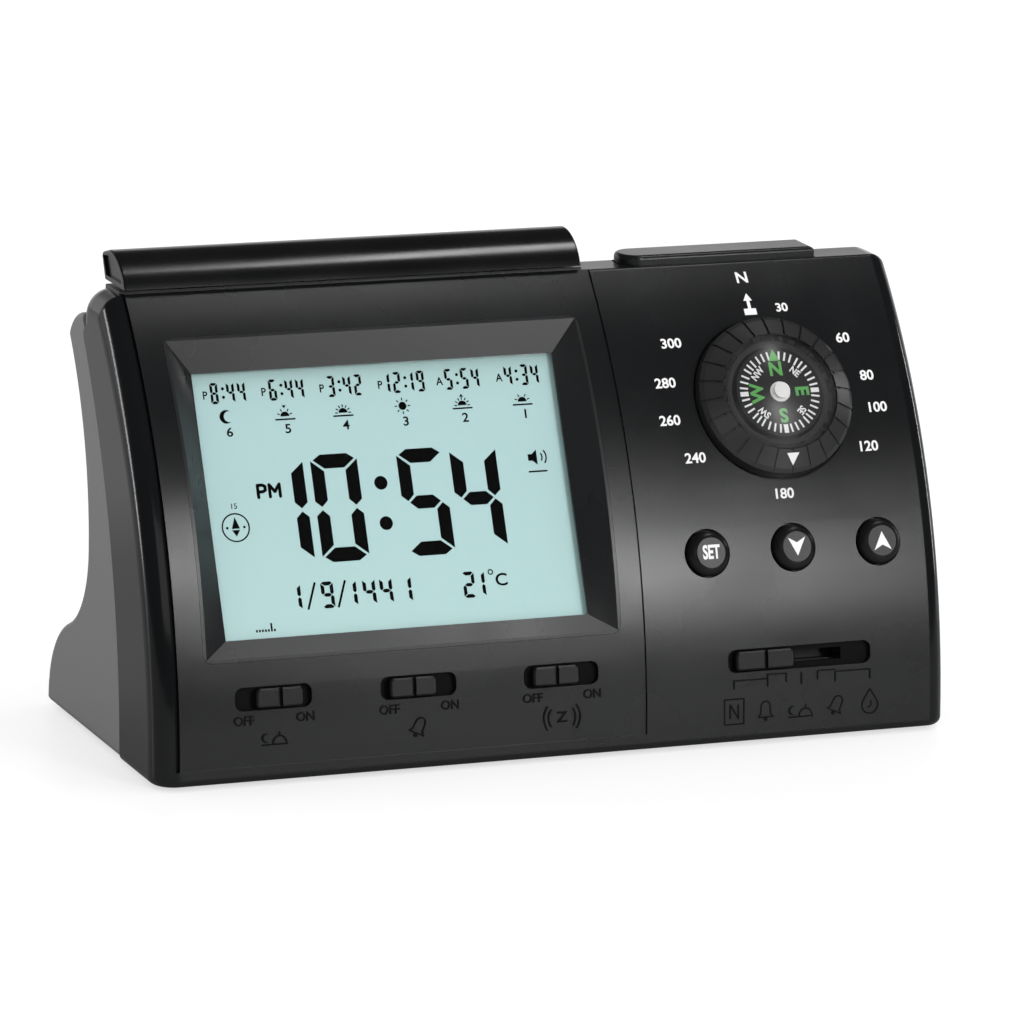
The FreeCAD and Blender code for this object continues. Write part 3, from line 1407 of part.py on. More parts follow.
def make_snooze_bar():
    bar = new_body("snooze_bar")
    front = "(%s - bar_overhang)" % TOP_FRONT
    low = BAR_LOW
    sketch = new_sketch(bar, "YZ_Plane", "bar_start")
    draw_bar_outline(sketch, "0")
    whole = pad(bar, sketch, "bar_end - bar_start")
    whole = soften(bar, whole, "bar_rounding",
                   lambda p, e: near(p.x, "(bar_start + bar_end) / 2") and p.z > number(low) + 1.0)
    soften(bar, whole, "edge_rounding / 2",
           lambda p, e: (near(p.x, "bar_start") or near(p.x, "bar_end")) and p.z > number(low) + 1.0)
    for end, along in (("bar_start", True), ("bar_end", False)):
        sketch = new_sketch(bar, "YZ_Plane", end)
        draw_bar_outline(sketch, "bar_rim")
        pocket(bar, sketch, "bar_recess", along)
    sketch = new_sketch(bar, offset=low)
    draw_rectangle(sketch, "bar_end - bar_start - 2 * bar_wall", "bar_foot_depth - 3 * bar_wall",
                   "(bar_start + bar_end) / 2", "%s + bar_foot_depth / 2" % front)
    pocket(bar, sketch, "bar_rise / 2", True)
    for place, side in zip(bar_leg_places(), ("-", "+")):
        sketch = new_sketch(bar, offset=LEG_FOOT)
        draw_rectangle(sketch, "bar_leg_width", "bar_leg_depth", place, LEG_DEPTH)
        pad(bar, sketch, "%s + bar_rise / 2 + fit_clearance - %s" % (low, LEG_FOOT))
        sketch = new_sketch(bar, offset="%s - top_clearance - 1.5 * hook_width" % CEILING)
        draw_rectangle(sketch, "bar_leg_width / 2 + hook_width", "bar_leg_depth",
                       "%s %s (bar_leg_width / 4 + hook_width / 2)" % (place, side), LEG_DEPTH)
        pad(bar, sketch, "1.5 * hook_width")


def make_light_button():
    button = new_body("light_button")
    sketch = new_sketch(button, offset="%s - top_clearance" % CEILING)
    draw_light_outline(sketch, "0")
    cap = pad(button, sketch, "wall + top_clearance + light_rise")
    soften(button, cap, "edge_rounding", lambda p, e: near(p.z, "case_height + light_rise"))
    sketch = new_sketch(button, offset="%s - top_clearance - hook_width" % CEILING)
    draw_rectangle(sketch, "light_end - light_start + 2 * hook_width", "light_depth - 2 * hook_width",
                   LIGHT_MIDDLE, LIGHT_DEPTH_MIDDLE)
    pad(button, sketch, "hook_width")
    sketch = new_sketch(button, offset=LEG_FOOT)
    draw_rectangle(sketch, "bar_leg_depth", "bar_leg_depth", LIGHT_MIDDLE, LEG_DEPTH)
    pad(button, sketch, "%s - top_clearance - %s" % (CEILING, LEG_FOOT))


def make_top_board():
    board = new_body("top_board")
    box_on(board, "case_width - 2 * top_board_inset", "top_board_depth", "top_board_height", "board_thickness",
           "case_width / 2", LEG_DEPTH)
    for place in ("top_boss_left", "top_boss_right"):
        hole_down(board, "board_screw_radius + fit_clearance", "top_board_height + 2 * board_thickness",
                  "3 * board_thickness", place, LEG_DEPTH)
    tacts = new_body("tact_switches")
    for place in bar_leg_places() + [LIGHT_MIDDLE]:
        level = "top_board_height + board_thickness"
        box_on(tacts, "tact_size", "tact_size", level, "0.7 * tact_height", place, LEG_DEPTH)
        cylinder_on(tacts, "tact_size / 3", level, "tact_height", place, LEG_DEPTH)


# ---- board screws ------------------------------------------------------------------------------

def make_board_screws():
    groups = [
        ("display_screws", DISPLAY, ear_places(), "-%s - board_thickness" % BOARD_LEVEL, "board_screw_grip"),
        ("key_board_screws", key_frame(0), [(place, "0") for place in KEY_POSTS],
         "-key_board_drop - board_thickness", "-key_board_drop + board_screw_grip"),
        ("slider_board_screws", slide_frame(0), [(place, "0") for place in SLIDE_POSTS],
         "-slide_board_drop - board_thickness", "-slide_board_drop + board_screw_grip"),
        ("top_board_screws", CASE, [(place, LEG_DEPTH) for place in ("top_boss_left", "top_boss_right")],
         "top_board_height", "top_board_height + board_thickness + board_screw_grip"),
    ]
    for label, frame, places, low, high in groups:
        screws = new_body(label, frame)
        for across, up in places:
            cylinder_on(screws, "board_screw_radius", low, "%s - (%s)" % (high, low), across, up)
            cylinder_on(screws, "2 * board_screw_radius", "%s - board_screw_radius" % low, "board_screw_radius",
                        across, up)


# ---- loudspeaker -------------------------------------------------------------------------------

def make_speaker():
    face = "-speaker_seat"
    throat = "(%s - speaker_depth)" % face
    frame = new_body("speaker_frame", SPEAKER)
    revolve(frame, [
        ("speaker_radius - 2 * speaker_wall", face),
        ("speaker_radius", face),
        ("speaker_radius", "%s - speaker_wall" % face),
        ("speaker_radius - speaker_wall", "%s - speaker_wall" % face),
        ("speaker_magnet_radius + speaker_wall", throat),
        ("speaker_magnet_radius - speaker_wall", throat),
        ("speaker_magnet_radius - speaker_wall", "%s + speaker_wall" % throat),
        ("speaker_magnet_radius", "%s + speaker_wall" % throat),
        ("speaker_radius - 2 * speaker_wall", "%s - 1.6 * speaker_wall" % face),
    ])
    cone = new_body("speaker_cone", SPEAKER)
    revolve(cone, [
        ("0", "%s - 0.45 * speaker_depth" % face),
        ("0.3 * speaker_radius", "%s - 0.6 * speaker_depth" % face),
        ("speaker_radius - 2 * speaker_wall", "%s - 0.6 * speaker_wall" % face),
        ("speaker_radius - 2 * speaker_wall", "%s - 0.2 * speaker_wall" % face),
        ("0.3 * speaker_radius", "%s - 0.5 * speaker_depth" % face),
        ("0", "%s - 0.35 * speaker_depth" % face),
    ])
    magnet = new_body("speaker_magnet", SPEAKER)
    cylinder_on(magnet, "speaker_magnet_radius", "%s - speaker_magnet_depth" % throat, "speaker_magnet_depth")
    clamp = new_body("speaker_clamp", SPEAKER)
    revolve(clamp, [
        ("speaker_radius - speaker_wall / 2", "%s - speaker_rim" % face),
        ("speaker_radius + speaker_wall", "%s - speaker_rim" % face),
        ("speaker_radius + speaker_wall", "%s - speaker_rim - speaker_wall" % face),
        ("speaker_radius - 1.5 * speaker_wall", "%s - speaker_rim - speaker_wall" % face),
        ("speaker_radius - 1.5 * speaker_wall", "%s - speaker_wall - speaker_wall" % face),
        ("speaker_radius - speaker_wall / 2", "%s - speaker_wall" % face),
    ])


def main():
    make_front_housing()
    make_rear_housing()
    make_case_screws()
    make_feet()
    make_battery_door()
    make_batteries()
    make_contact_plates()
    make_contact_springs()
    make_display_bezel()
    make_display_stack()
    make_main_board()
    make_compass()
    make_keys()
    make_key_boards()
    make_sliders()
    make_slider_board()
    make_snooze_bar()
    make_light_button()
    make_top_board()
    make_board_screws()
    make_speaker()
    doc.recompute()
    check_document()
    write_parts()


def check_document():
    """Stops before anything is written if a feature failed or a sub-part has no sound shape."""
    for item in doc.Objects:
        if "Invalid" in item.State or "Error" in item.State:
            raise RuntimeError("%s failed: %s" % (item.Label, item.getStatusString()))
    for body in BODIES:
        if body.Shape.isNull() or not body.Shape.isValid() or not body.Shape.Solids:
            raise RuntimeError("%s has no sound solid" % body.Label)


def write_parts():
    os.makedirs("parts", exist_ok=True)
    for body in BODIES:
        body.Shape.exportStep("parts/%s.step" % body.Label)
        print("%-22s %2d solids %10.1f mm3" % (body.Label, len(body.Shape.Solids), body.Shape.Volume))


main()
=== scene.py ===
"""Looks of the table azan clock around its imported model.

The carried-over nodes get their finishes. Prints, raised signs and the display's picture are added
as thin pieces. A pale floor, soft lamps and the camera of the photograph's view complete the scene.
"""
import json
import math
from collections import namedtuple

import bmesh
import bpy
from mathutils import Matrix, Vector


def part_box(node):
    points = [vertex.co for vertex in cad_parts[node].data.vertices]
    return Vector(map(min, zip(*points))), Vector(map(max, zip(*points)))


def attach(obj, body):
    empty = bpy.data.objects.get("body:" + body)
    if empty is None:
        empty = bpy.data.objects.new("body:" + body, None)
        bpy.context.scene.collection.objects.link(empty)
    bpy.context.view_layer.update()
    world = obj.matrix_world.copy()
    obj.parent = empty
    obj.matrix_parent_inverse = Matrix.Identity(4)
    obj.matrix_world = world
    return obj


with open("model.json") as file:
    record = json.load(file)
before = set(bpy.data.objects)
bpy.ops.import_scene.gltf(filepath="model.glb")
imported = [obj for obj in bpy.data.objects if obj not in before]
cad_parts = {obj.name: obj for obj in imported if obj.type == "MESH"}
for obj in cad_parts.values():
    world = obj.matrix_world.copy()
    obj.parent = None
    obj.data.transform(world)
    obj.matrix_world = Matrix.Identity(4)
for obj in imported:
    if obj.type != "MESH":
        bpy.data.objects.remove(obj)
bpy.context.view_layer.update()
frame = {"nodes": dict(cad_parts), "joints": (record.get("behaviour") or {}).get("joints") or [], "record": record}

MM = 0.001

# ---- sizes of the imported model, in millimetres unless a name says otherwise ----------------------

FACE_RADIUS = 124.0  # arc of the front
LEFT_FACE_RADIUS = 123.6  # arc of the left panel, set back by a fine step
FACE_DROP = 3.2  # depth of the arc's centre below the underside
FACE_CENTRE = math.sqrt(FACE_RADIUS ** 2 - FACE_DROP ** 2)  # and its distance from the front's foot
FOOT_ROUNDING = 1.5
DISPLAY_LEAN = math.radians(25.25)
GLASS_THICKNESS = 2.5
KEY_HEIGHT = 34.3  # middle of the round keys above the underside
KEY_RISE = 1.9  # flat key tops above the face
RING_EDGE = (14.15, 2.4)  # radius and level of the compass ring's outer edge
RING_CREST = (11.04, 4.1)  # radius and level of its crest
CARD_TOP = 3.5  # compass card above the seat of the ring
KNOB_SHIFT = 1.1  # short knobs at rest, from the middle of their slots

# ---- depths of what is printed or raised, in millimetres -----------------------------------------

PRINT_DEPTH = 0.04
DISPLAY_DEPTH = 0.03
EMBOSS_DEPTH = 0.18
LOW_EMBOSS_DEPTH = 0.09


# ---- places on the object ------------------------------------------------------------------------

def case_corner():
    """Where the case's own axes start: its left side, the foot of its arc and its underside."""
    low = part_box("front_housing")[0]
    lean = math.asin((FOOT_ROUNDING + FACE_DROP) / FACE_RADIUS)
    setback = FACE_CENTRE - FACE_RADIUS * math.cos(lean)
    return Vector((low.x, low.y - setback * MM, low.z))


corner = case_corner()


def box_middle(name):
    low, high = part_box(name)
    return (low + high) / 2


def case_x(name):
    """How far the middle of a node is from the left side of the case, in millimetres."""
    return (box_middle(name).x - corner.x) / MM


def outward(lean):
    """The direction out of a front that leans back by an angle."""
    return Vector((0, -math.cos(lean), math.sin(lean)))


def leaning(origin, lean):
    """A frame with X across, Y up the face and Z out of it; it takes millimetres, gives metres."""
    across = Vector((1, 0, 0))
    up = Vector((0, math.sin(lean), math.cos(lean)))
    axes = Matrix((across, up, outward(lean))).transposed().to_4x4()
    return Matrix.Translation(origin) @ axes @ Matrix.Scale(MM, 4)


def on_face(x, height, out=0.0, radius=FACE_RADIUS):
    """Bends flat work round the front, about a distance from the left side and a height."""
    lean = math.asin((height + FACE_DROP) / radius)

    def bent(point):
        reach = radius + out + point.z
        angle = lean + point.y / radius
        depth = FACE_CENTRE - reach * math.cos(angle)
        rise = reach * math.sin(angle) - FACE_DROP
        return corner + Vector((x + point.x, depth, rise)) * MM

    return bent


def in_frame(matrix):
    """Carries flat work straight into a frame."""
    return lambda point: matrix @ point


def display_frame():
    """The plane of the display's picture, over the top of its glass."""
    top = box_middle("lcd_glass") + outward(DISPLAY_LEAN) * GLASS_THICKNESS / 2 * MM
    return leaning(top, DISPLAY_LEAN)


def compass_frame():
    """The seat of the compass ring, square to the axis that the ring turns on."""
    turn = next(joint for joint in frame["joints"] if joint["name"] == "ring_turn")
    return leaning(Vector(turn["pos_m"]), math.asin(Vector(turn["axis"]).z))


DISPLAY = display_frame()
COMPASS = compass_frame()


# ---- outlines, in millimetres --------------------------------------------------------------------

def moved(outline, x, y):
    return [(a + x, b + y) for a, b in outline]


def turned(outline, angle):
    cos, sin = math.cos(angle), math.sin(angle)
    return [(x * cos - y * sin, x * sin + y * cos) for x, y in outline]


def rectangle(width, height, x=0.0, y=0.0):
    return [(x - width / 2, y - height / 2), (x + width / 2, y - height / 2),
            (x + width / 2, y + height / 2), (x - width / 2, y + height / 2)]


def disc(radius, x=0.0, y=0.0, sides=24):
    angles = [2 * math.pi * side / sides for side in range(sides)]
    return [(x + radius * math.cos(angle), y + radius * math.sin(angle)) for angle in angles]


def arc(radius, start, end, x=0.0, y=0.0, steps=10):
    """Points along an arc between two angles in degrees."""
    angles = [math.radians(start + (end - start) * step / steps) for step in range(steps + 1)]
    return [(x + radius * math.cos(angle), y + radius * math.sin(angle)) for angle in angles]


def band(radius, width, start, end, x=0.0, y=0.0, steps=16):
    """The outline of a strip along an arc."""
    outer = arc(radius + width / 2, start, end, x, y, steps)
    return outer + arc(radius - width / 2, end, start, x, y, steps)


def circle_line(radius, width, x, y):
    """A drawn circle, as two half bands."""
    return [band(radius, width, start, start + 180, x, y) for start in (0, 180)]


def stroke(points, width):
    """Outlines of a drawn line: one bar for each run, with a round dot at each bend."""
    shapes = []
    for start, end in zip(points, points[1:]):
        angle = math.atan2(end[1] - start[1], end[0] - start[0])
        middle = ((start[0] + end[0]) / 2, (start[1] + end[1]) / 2)
        bar = rectangle(math.dist(start, end), width)
        shapes.append(moved(turned(bar, angle), *middle))
    return shapes + [disc(width / 2, x, y, 12) for x, y in points[1:-1]]


# ---- pieces --------------------------------------------------------------------------------------

def add_object(name, data):
    made = bpy.data.objects.new(name, data)
    bpy.context.scene.collection.objects.link(made)
    return made


def mesh_from(work, name):
    """The mesh of a finished bmesh."""
    mesh = bpy.data.meshes.new(name)
    work.to_mesh(mesh)
    work.free()
    return mesh


CAPITAL_SHARE = 0.73  # height of a capital over the size of its letters
LETTER_STEPS = 4


def finish_mesh(mesh, name, place, material, body, slot):
    """Gives a flat-built mesh its place, finish and body; place turns its points into metres."""
    for vertex in mesh.vertices:
        vertex.co = place(vertex.co)
    mesh.materials.clear()
    mesh.materials.append(material)
    piece = add_object(name, mesh)
    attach(piece, body)


def add_prism(work, outline, depth):
    """A closed solid over an outline drawn either way round."""
    area = sum(a[0] * b[1] - b[0] * a[1] for a, b in zip(outline, outline[1:] + outline[:1]))
    points = outline if area > 0 else outline[::-1]
    floor = [work.verts.new((x, y, 0.0)) for x, y in points]
    roof = [work.verts.new((x, y, depth)) for x, y in points]
    work.faces.new(roof)
    work.faces.new(floor[::-1])
    for index in range(len(points)):
        after = (index + 1) % len(points)
        work.faces.new((floor[index], floor[after], roof[after], roof[index]))


def prisms(name, outlines, depth, place, *coat):
    """Adds a piece of closed solids over outlines; coat is its material, body and slot, and the slot is not used.
    """
    work = bmesh.new()
    for outline in outlines:
        add_prism(work, outline, depth)
    finish_mesh(mesh_from(work, name), name, place, *coat)


def letters(name, text, height, place, *coat, stretch=1.0, weight=0.0, depth=PRINT_DEPTH):
    """Adds closed solid letters about the origin of a frame; the height is that of a capital."""
    curve = bpy.data.curves.new(name + "_curve", "FONT")
    curve.body = text
    curve.align_x = "CENTER"
    curve.align_y = "CENTER"
    curve.size = height / CAPITAL_SHARE
    curve.extrude = depth / 2
    curve.offset = weight
    curve.resolution_u = LETTER_STEPS
    holder = add_object(name + "_holder", curve)
    bpy.context.view_layer.update()
    solid = holder.evaluated_get(bpy.context.evaluated_depsgraph_get())
    mesh = bpy.data.meshes.new_from_object(solid)
    bpy.data.objects.remove(holder)
    bpy.data.curves.remove(curve)
    mesh.name = name
    mesh.transform(Matrix.Diagonal((stretch, 1, 1, 1)) @ Matrix.Translation((0, 0, depth / 2)))
    finish_mesh(mesh, name, place, *coat)


# ---- material helpers ----------------------------------------------------------------------------

NOISE_LOW = 0.3  # most of a noise texture's values lie between these
NOISE_HIGH = 0.7


def first_node(tree, kind):
    return next(item for item in tree.nodes if item.type == kind)


def start_material(name):
    material = bpy.data.materials.new(name)
    material.use_nodes = True
    tree = material.node_tree
    return material, tree, first_node(tree, "BSDF_PRINCIPLED")


def object_place(tree):
    return tree.nodes.new("ShaderNodeTexCoord").outputs["Object"]


def parts_of(tree, vector):
    """The X, Y and Z outputs of a vector."""
    split = tree.nodes.new("ShaderNodeSeparateXYZ")
    tree.links.new(vector, split.inputs["Vector"])
    return split.outputs


def combined(tree, operation, first, second):
    """A Math node of a socket and either another socket or a number."""
    made = tree.nodes.new("ShaderNodeMath")
    made.operation = operation
    tree.links.new(first, made.inputs[0])
    if isinstance(second, float):
        made.inputs[1].default_value = second
    else:
        tree.links.new(second, made.inputs[1])
    return made.outputs["Value"]


def vector_step(tree, operation, vector, constant=None):
    """A Vector Math node of a socket and, where it takes one, a constant vector."""
    made = tree.nodes.new("ShaderNodeVectorMath")
    made.operation = operation
    tree.links.new(vector, made.inputs[0])
    if constant is not None:
        made.inputs[1].default_value = constant
    return made.outputs["Value" if operation == "LENGTH" else "Vector"]


def noise(tree, scale, detail=2.0, stretch=None):
    """Solid noise in object space; the scale is in repeats per metre."""
    place = object_place(tree)
    if stretch:
        mapping = tree.nodes.new("ShaderNodeMapping")
        mapping.inputs["Scale"].default_value = stretch
        tree.links.new(place, mapping.inputs["Vector"])
        place = mapping.outputs["Vector"]
    made = tree.nodes.new("ShaderNodeTexNoise")
    made.inputs["Scale"].default_value = scale
    made.inputs["Detail"].default_value = detail
    tree.links.new(place, made.inputs["Vector"])
    return made.outputs["Fac"]


def spread(tree, value, low, high, start=NOISE_LOW, end=NOISE_HIGH):
    """Maps what a value does between start and end to the range from low to high."""
    made = tree.nodes.new("ShaderNodeMapRange")
    made.inputs["From Min"].default_value = start
    made.inputs["From Max"].default_value = end
    made.inputs["To Min"].default_value = low
    made.inputs["To Max"].default_value = high
    tree.links.new(value, made.inputs["Value"])
    return made.outputs["Result"]


def shades(tree, value, *stops):
    """A colour that follows a value through stops, each a position and a colour."""
    ramp = tree.nodes.new("ShaderNodeValToRGB")
    elements = ramp.color_ramp.elements
    for element, (position, colour) in zip(elements, (stops[0], stops[-1])):
        element.position = position
        element.color = (*colour, 1)
    for position, colour in stops[1:-1]:
        elements.new(position).color = (*colour, 1)
    tree.links.new(value, ramp.inputs["Fac"])
    return ramp.outputs["Color"]


def uneven(tree, value, colour, dark, light):
    """A colour that a noise value makes darker and lighter by two factors."""
    darker, lighter = (tuple(min(1.0, channel * factor) for channel in colour)
                       for factor in (dark, light))
    return shades(tree, value, (NOISE_LOW, darker), (NOISE_HIGH, lighter))


def add_relief(tree, shader, value, strength, distance):
    bump = tree.nodes.new("ShaderNodeBump")
    bump.inputs["Strength"].default_value = strength
    bump.inputs["Distance"].default_value = distance
    tree.links.new(value, bump.inputs["Height"])
    tree.links.new(bump.outputs["Normal"], shader.inputs["Normal"])


# ---- materials -----------------------------------------------------------------------------------

SLOW_CHANGES = (45.0, 4.0)  # repeats per metre and detail
PLASTIC_RELIEF = 0.00004  # in metres
METAL_RELIEF = 0.00003


def moulded(name, colour, roughness, specular=0.5, grain=2600.0, relief=0.12, mottle=0.14):
    """Moulded plastic: fine eroded grain, slow changes of gloss and a slightly uneven colour."""
    material, tree, shader = start_material(name)
    fine = noise(tree, grain, 2.0)
    slow = noise(tree, *SLOW_CHANGES)
    tint = uneven(tree, slow, colour, 1 - mottle, 1 + mottle)
    gloss = spread(tree, slow, roughness - 0.03, roughness + 0.04)
    tree.links.new(tint, shader.inputs["Base Color"])
    tree.links.new(gloss, shader.inputs["Roughness"])
    shader.inputs["Specular IOR Level"].default_value = specular
    add_relief(tree, shader, fine, relief, PLASTIC_RELIEF)
    return material


def ink(name, colour, roughness=0.5, specular=0.35):
    """Screen-printed ink: slightly uneven cover with a dry surface."""
    return moulded(name, colour, roughness, specular, grain=5200.0, relief=0.1, mottle=0.05)


def metal(name, colour, roughness, stretch=(1, 1, 12), grain=900.0):
    """Plated or stamped metal with fine drawn lines and duller patches."""
    material, tree, shader = start_material(name)
    lines = noise(tree, grain, 3.0, stretch)
    tint = uneven(tree, noise(tree, 120.0, 3.0), colour, 0.82, 1.08)
    tree.links.new(tint, shader.inputs["Base Color"])
    gloss = spread(tree, lines, roughness - 0.08, roughness + 0.1)
    tree.links.new(gloss, shader.inputs["Roughness"])
    shader.inputs["Metallic"].default_value = 1.0
    add_relief(tree, shader, lines, 0.1, METAL_RELIEF)
    return material


def clear_plastic(name, roughness=0.03, head_on=0.024, flat_on=1.0, mirror=1.0):
    """A clear cover of which only the gloss shows, stronger at a flat angle, from both sides alike.

    Its cover goes from head_on to flat_on. A darker mirror with more cover gives much the same
    gloss with less grain on a small curved lens.
    """
    material, tree, shader = start_material(name)
    facing = tree.nodes.new("ShaderNodeLayerWeight")
    facing.inputs["Blend"].default_value = 0.5
    flatness = combined(tree, "POWER", facing.outputs["Facing"], 5.0)
    cover = spread(tree, flatness, head_on, flat_on, 0.0, 1.0)
    tree.links.new(cover, shader.inputs["Alpha"])
    shader.inputs["Base Color"].default_value = (mirror, mirror, mirror, 1)
    shader.inputs["Metallic"].default_value = 1.0
    gloss = spread(tree, noise(tree, 60.0, 2.0), 0.8 * roughness, 1.3 * roughness)
    tree.links.new(gloss, shader.inputs["Roughness"])
    return material


# The crystal's own pale blue-green, with a painted shadow of the bezel that darkens it towards its upper edge.
GLASS_TINT_AND_PAINTED_SHADOW = ((0.0, (0.44, 0.655, 0.645)), (0.8, (0.43, 0.625, 0.63)), (1.0, (0.4, 0.59, 0.57)))


def display_glass(name):
    """Pale blue-green liquid crystal with a painted shadow of the bezel, darker towards its upper edge, and finely
    uneven in gloss.
    """
    material, tree, shader = start_material(name)
    low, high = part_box("lcd_glass")
    height = spread(tree, parts_of(tree, object_place(tree))["Z"], 0.0, 1.0, low.z, high.z)
    # Painted bezel shadow: the colour darkens with height towards the upper edge.
    tree.links.new(shades(tree, height, *GLASS_TINT_AND_PAINTED_SHADOW), shader.inputs["Base Color"])
    fine = noise(tree, 5200.0, 1.0)
    tree.links.new(spread(tree, fine, 0.3, 0.4), shader.inputs["Roughness"])
    shader.inputs["Specular IOR Level"].default_value = 0.3
    return material


def circuit_board(name):
    """Green solder mask with darker gaps between buried tracks."""
    material, tree, shader = start_material(name)
    cells = tree.nodes.new("ShaderNodeTexBrick")
    cells.inputs["Scale"].default_value = 160.0
    cells.inputs["Mortar Size"].default_value = 0.03
    cells.inputs["Color1"].default_value = (0.03, 0.19, 0.08, 1)
    cells.inputs["Color2"].default_value = (0.035, 0.23, 0.1, 1)
    cells.inputs["Mortar"].default_value = (0.02, 0.12, 0.05, 1)
    tree.links.new(object_place(tree), cells.inputs["Vector"])
    tree.links.new(cells.outputs["Color"], shader.inputs["Base Color"])
    tree.links.new(spread(tree, noise(tree, 300.0), 0.28, 0.4), shader.inputs["Roughness"])
    add_relief(tree, shader, cells.outputs["Fac"], 0.2, METAL_RELIEF)
    return material


# A Mix node has sockets for numbers, vectors and colours: these are the factor and the colour ones.
COLOUR_MIX_INPUTS = (0, 6, 7)
COLOUR_MIX_OUTPUT = 2

# Painted shade in recesses of the front housing, in millimetres: how far below the arc it starts and is full.
SHADE_START = 0.42
SHADE_FULL = 0.85
# Where it may start and be full, from the left side, from the right side and above the underside.
LEFT_SHADE = (3.3, 3.6)
RIGHT_SHADE = (3.4, 3.8)
TOP_SHADE = (80.6, 80.2)
# The near-black colour of the painted shade.
PAINTED_SHADE_COLOUR = (0.0008, 0.0008, 0.0008, 1)
SHADE_ROUGHNESS = 0.9
# The rounded side edges are smoother: a factor of roughness, and where it fades out from each side.
EDGE_POLISH = 0.5
LEFT_POLISH = (3.4, 4.0)
RIGHT_POLISH = (3.0, 3.6)


def paint_recess_shade(material):
    """Paints shade into grooves, slots and seats well below the curved front, and polishes its side edges."""
    tree = material.node_tree
    shader = first_node(tree, "BSDF_PRINCIPLED")
    place = object_place(tree)
    low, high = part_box("front_housing")
    axis = Vector((0, corner.y + FACE_CENTRE * MM, corner.z - FACE_DROP * MM))
    across = vector_step(tree, "MULTIPLY", vector_step(tree, "SUBTRACT", place, axis), (0, 1, 1))
    reach = vector_step(tree, "LENGTH", across)
    split = parts_of(tree, place)

    def from_left(span):
        return [low.x + edge * MM for edge in span]

    def from_right(span):
        return [high.x - edge * MM for edge in span]

    shade = spread(tree, reach, 1.0, 0.0, (FACE_RADIUS - SHADE_FULL) * MM,
                   (FACE_RADIUS - SHADE_START) * MM)
    under_top = [corner.z + edge * MM for edge in TOP_SHADE]
    for side, span in (("X", from_left(LEFT_SHADE)), ("X", from_right(RIGHT_SHADE)),
                       ("Z", under_top)):
        inside = spread(tree, split[side], 0.0, 1.0, *span)
        shade = combined(tree, "MULTIPLY", shade, inside)

    tint = shader.inputs["Base Color"].links[0].from_socket
    # Painted shade: the base colour turns near-black where the recess mask is full.
    darkened = tree.nodes.new("ShaderNodeMix")
    darkened.data_type = "RGBA"
    factor, plain, shaded = (darkened.inputs[index] for index in COLOUR_MIX_INPUTS)
    tree.links.new(shade, factor)
    tree.links.new(tint, plain)
    shaded.default_value = PAINTED_SHADE_COLOUR
    tree.links.new(darkened.outputs[COLOUR_MIX_OUTPUT], shader.inputs["Base Color"])

    gloss = shader.inputs["Roughness"].links[0].from_socket
    for span in (from_left(LEFT_POLISH), from_right(RIGHT_POLISH)):
        gloss = combined(tree, "MULTIPLY", gloss, spread(tree, split["X"], EDGE_POLISH, 1.0, *span))
    dull = spread(tree, shade, 0.0, SHADE_ROUGHNESS, 0.0, 1.0)
    tree.links.new(combined(tree, "MAXIMUM", gloss, dull), shader.inputs["Roughness"])


def grey(level):
    return (level, level, level)


def make_finishes():
    """Every material of the object, by the slots of the record and the uses in this script."""
    shell = moulded("shell_black", (0.0062, 0.0067, 0.0074), 0.26, 0.38)
    # The shell gets painted shade in its grooves, slots and seats.
    paint_recess_shade(shell)
    return {
        "black_shell": shell,
        "rear_shell": moulded("rear_black", grey(0.18), 0.5, 0.8, 2200.0, 0.3, 0.04),
        "bar_black": moulded("bar_black", (0.004, 0.0042, 0.0048), 0.2, 0.5, 1800.0, 0.05),
        "lens": clear_plastic("lens_clear", 0.3, 0.08, 0.6, 0.24),
        "black_key": moulded("key_black", (0.0055, 0.0055, 0.006), 0.32, 0.32, 2200.0, 0.08),
        "inner_black": moulded("inner_black", grey(0.02), 0.55),
        "dark_frame": moulded("frame_satin", (0.016, 0.0165, 0.0175), 0.28, 0.32, 3000.0, 0.05,
                              0.1),
        "dark_ring": moulded("ring_satin", (0.02, 0.0203, 0.0212), 0.34, 0.6, 2600.0, 0.14),
        "clear": clear_plastic("clear_cover"),
        "display": display_glass("display_glass"),
        "diffuser": moulded("diffuser_white", (0.75, 0.8, 0.8), 0.6),
        "contact_rubber": moulded("rubber_grey", (0.3, 0.3, 0.28), 0.8, 0.3, 1500.0, 0.3),
        "foot_rubber": moulded("rubber_black", grey(0.02), 0.85, 0.3, 1200.0, 0.4),
        "circuit_board": circuit_board("board_green"),
        "black_resin": moulded("resin_black", grey(0.012), 0.4, 0.5, 900.0, 0.2),
        "steel": metal("steel_plated", (0.62, 0.62, 0.63), 0.3),
        "switch_can": moulded("switch_black", grey(0.01), 0.5, 0.3),
        "magnet": metal("magnet_sintered", (0.17, 0.17, 0.18), 0.6, (1, 1, 1), 1800.0),
        "brass": metal("brass_turned", (0.72, 0.52, 0.22), 0.25),
        "card": moulded("card_black", (0.004, 0.004, 0.0045), 0.5, 0.3, 3600.0, 0.1),
        "cap_plastic": moulded("cap_white", (0.84, 0.84, 0.82), 0.35, 0.5, 3000.0, 0.05, 0.03),
        "cone_paper": moulded("cone_paper", grey(0.03), 0.9, 0.2, 1400.0, 0.5, 0.3),
        "cell_jacket": moulded("cell_jacket", (0.08, 0.1, 0.13), 0.3, 0.5, 400.0, 0.03, 0.3),
        "display_ink": ink("display_ink", (0.0008, 0.001, 0.001), 0.6, 0.03),
        "print_white": ink("print_white", grey(0.86)),
        "print_green": ink("print_green", (0.1, 0.42, 0.09)),
        "raised_black": moulded("raised_black", grey(0.002), 0.5, 0.12, 2600.0, 0.08),
    }


OWN_FINISHES = {"rear_housing": "rear_shell", "snooze_bar": "bar_black", "compass_lens": "lens"}


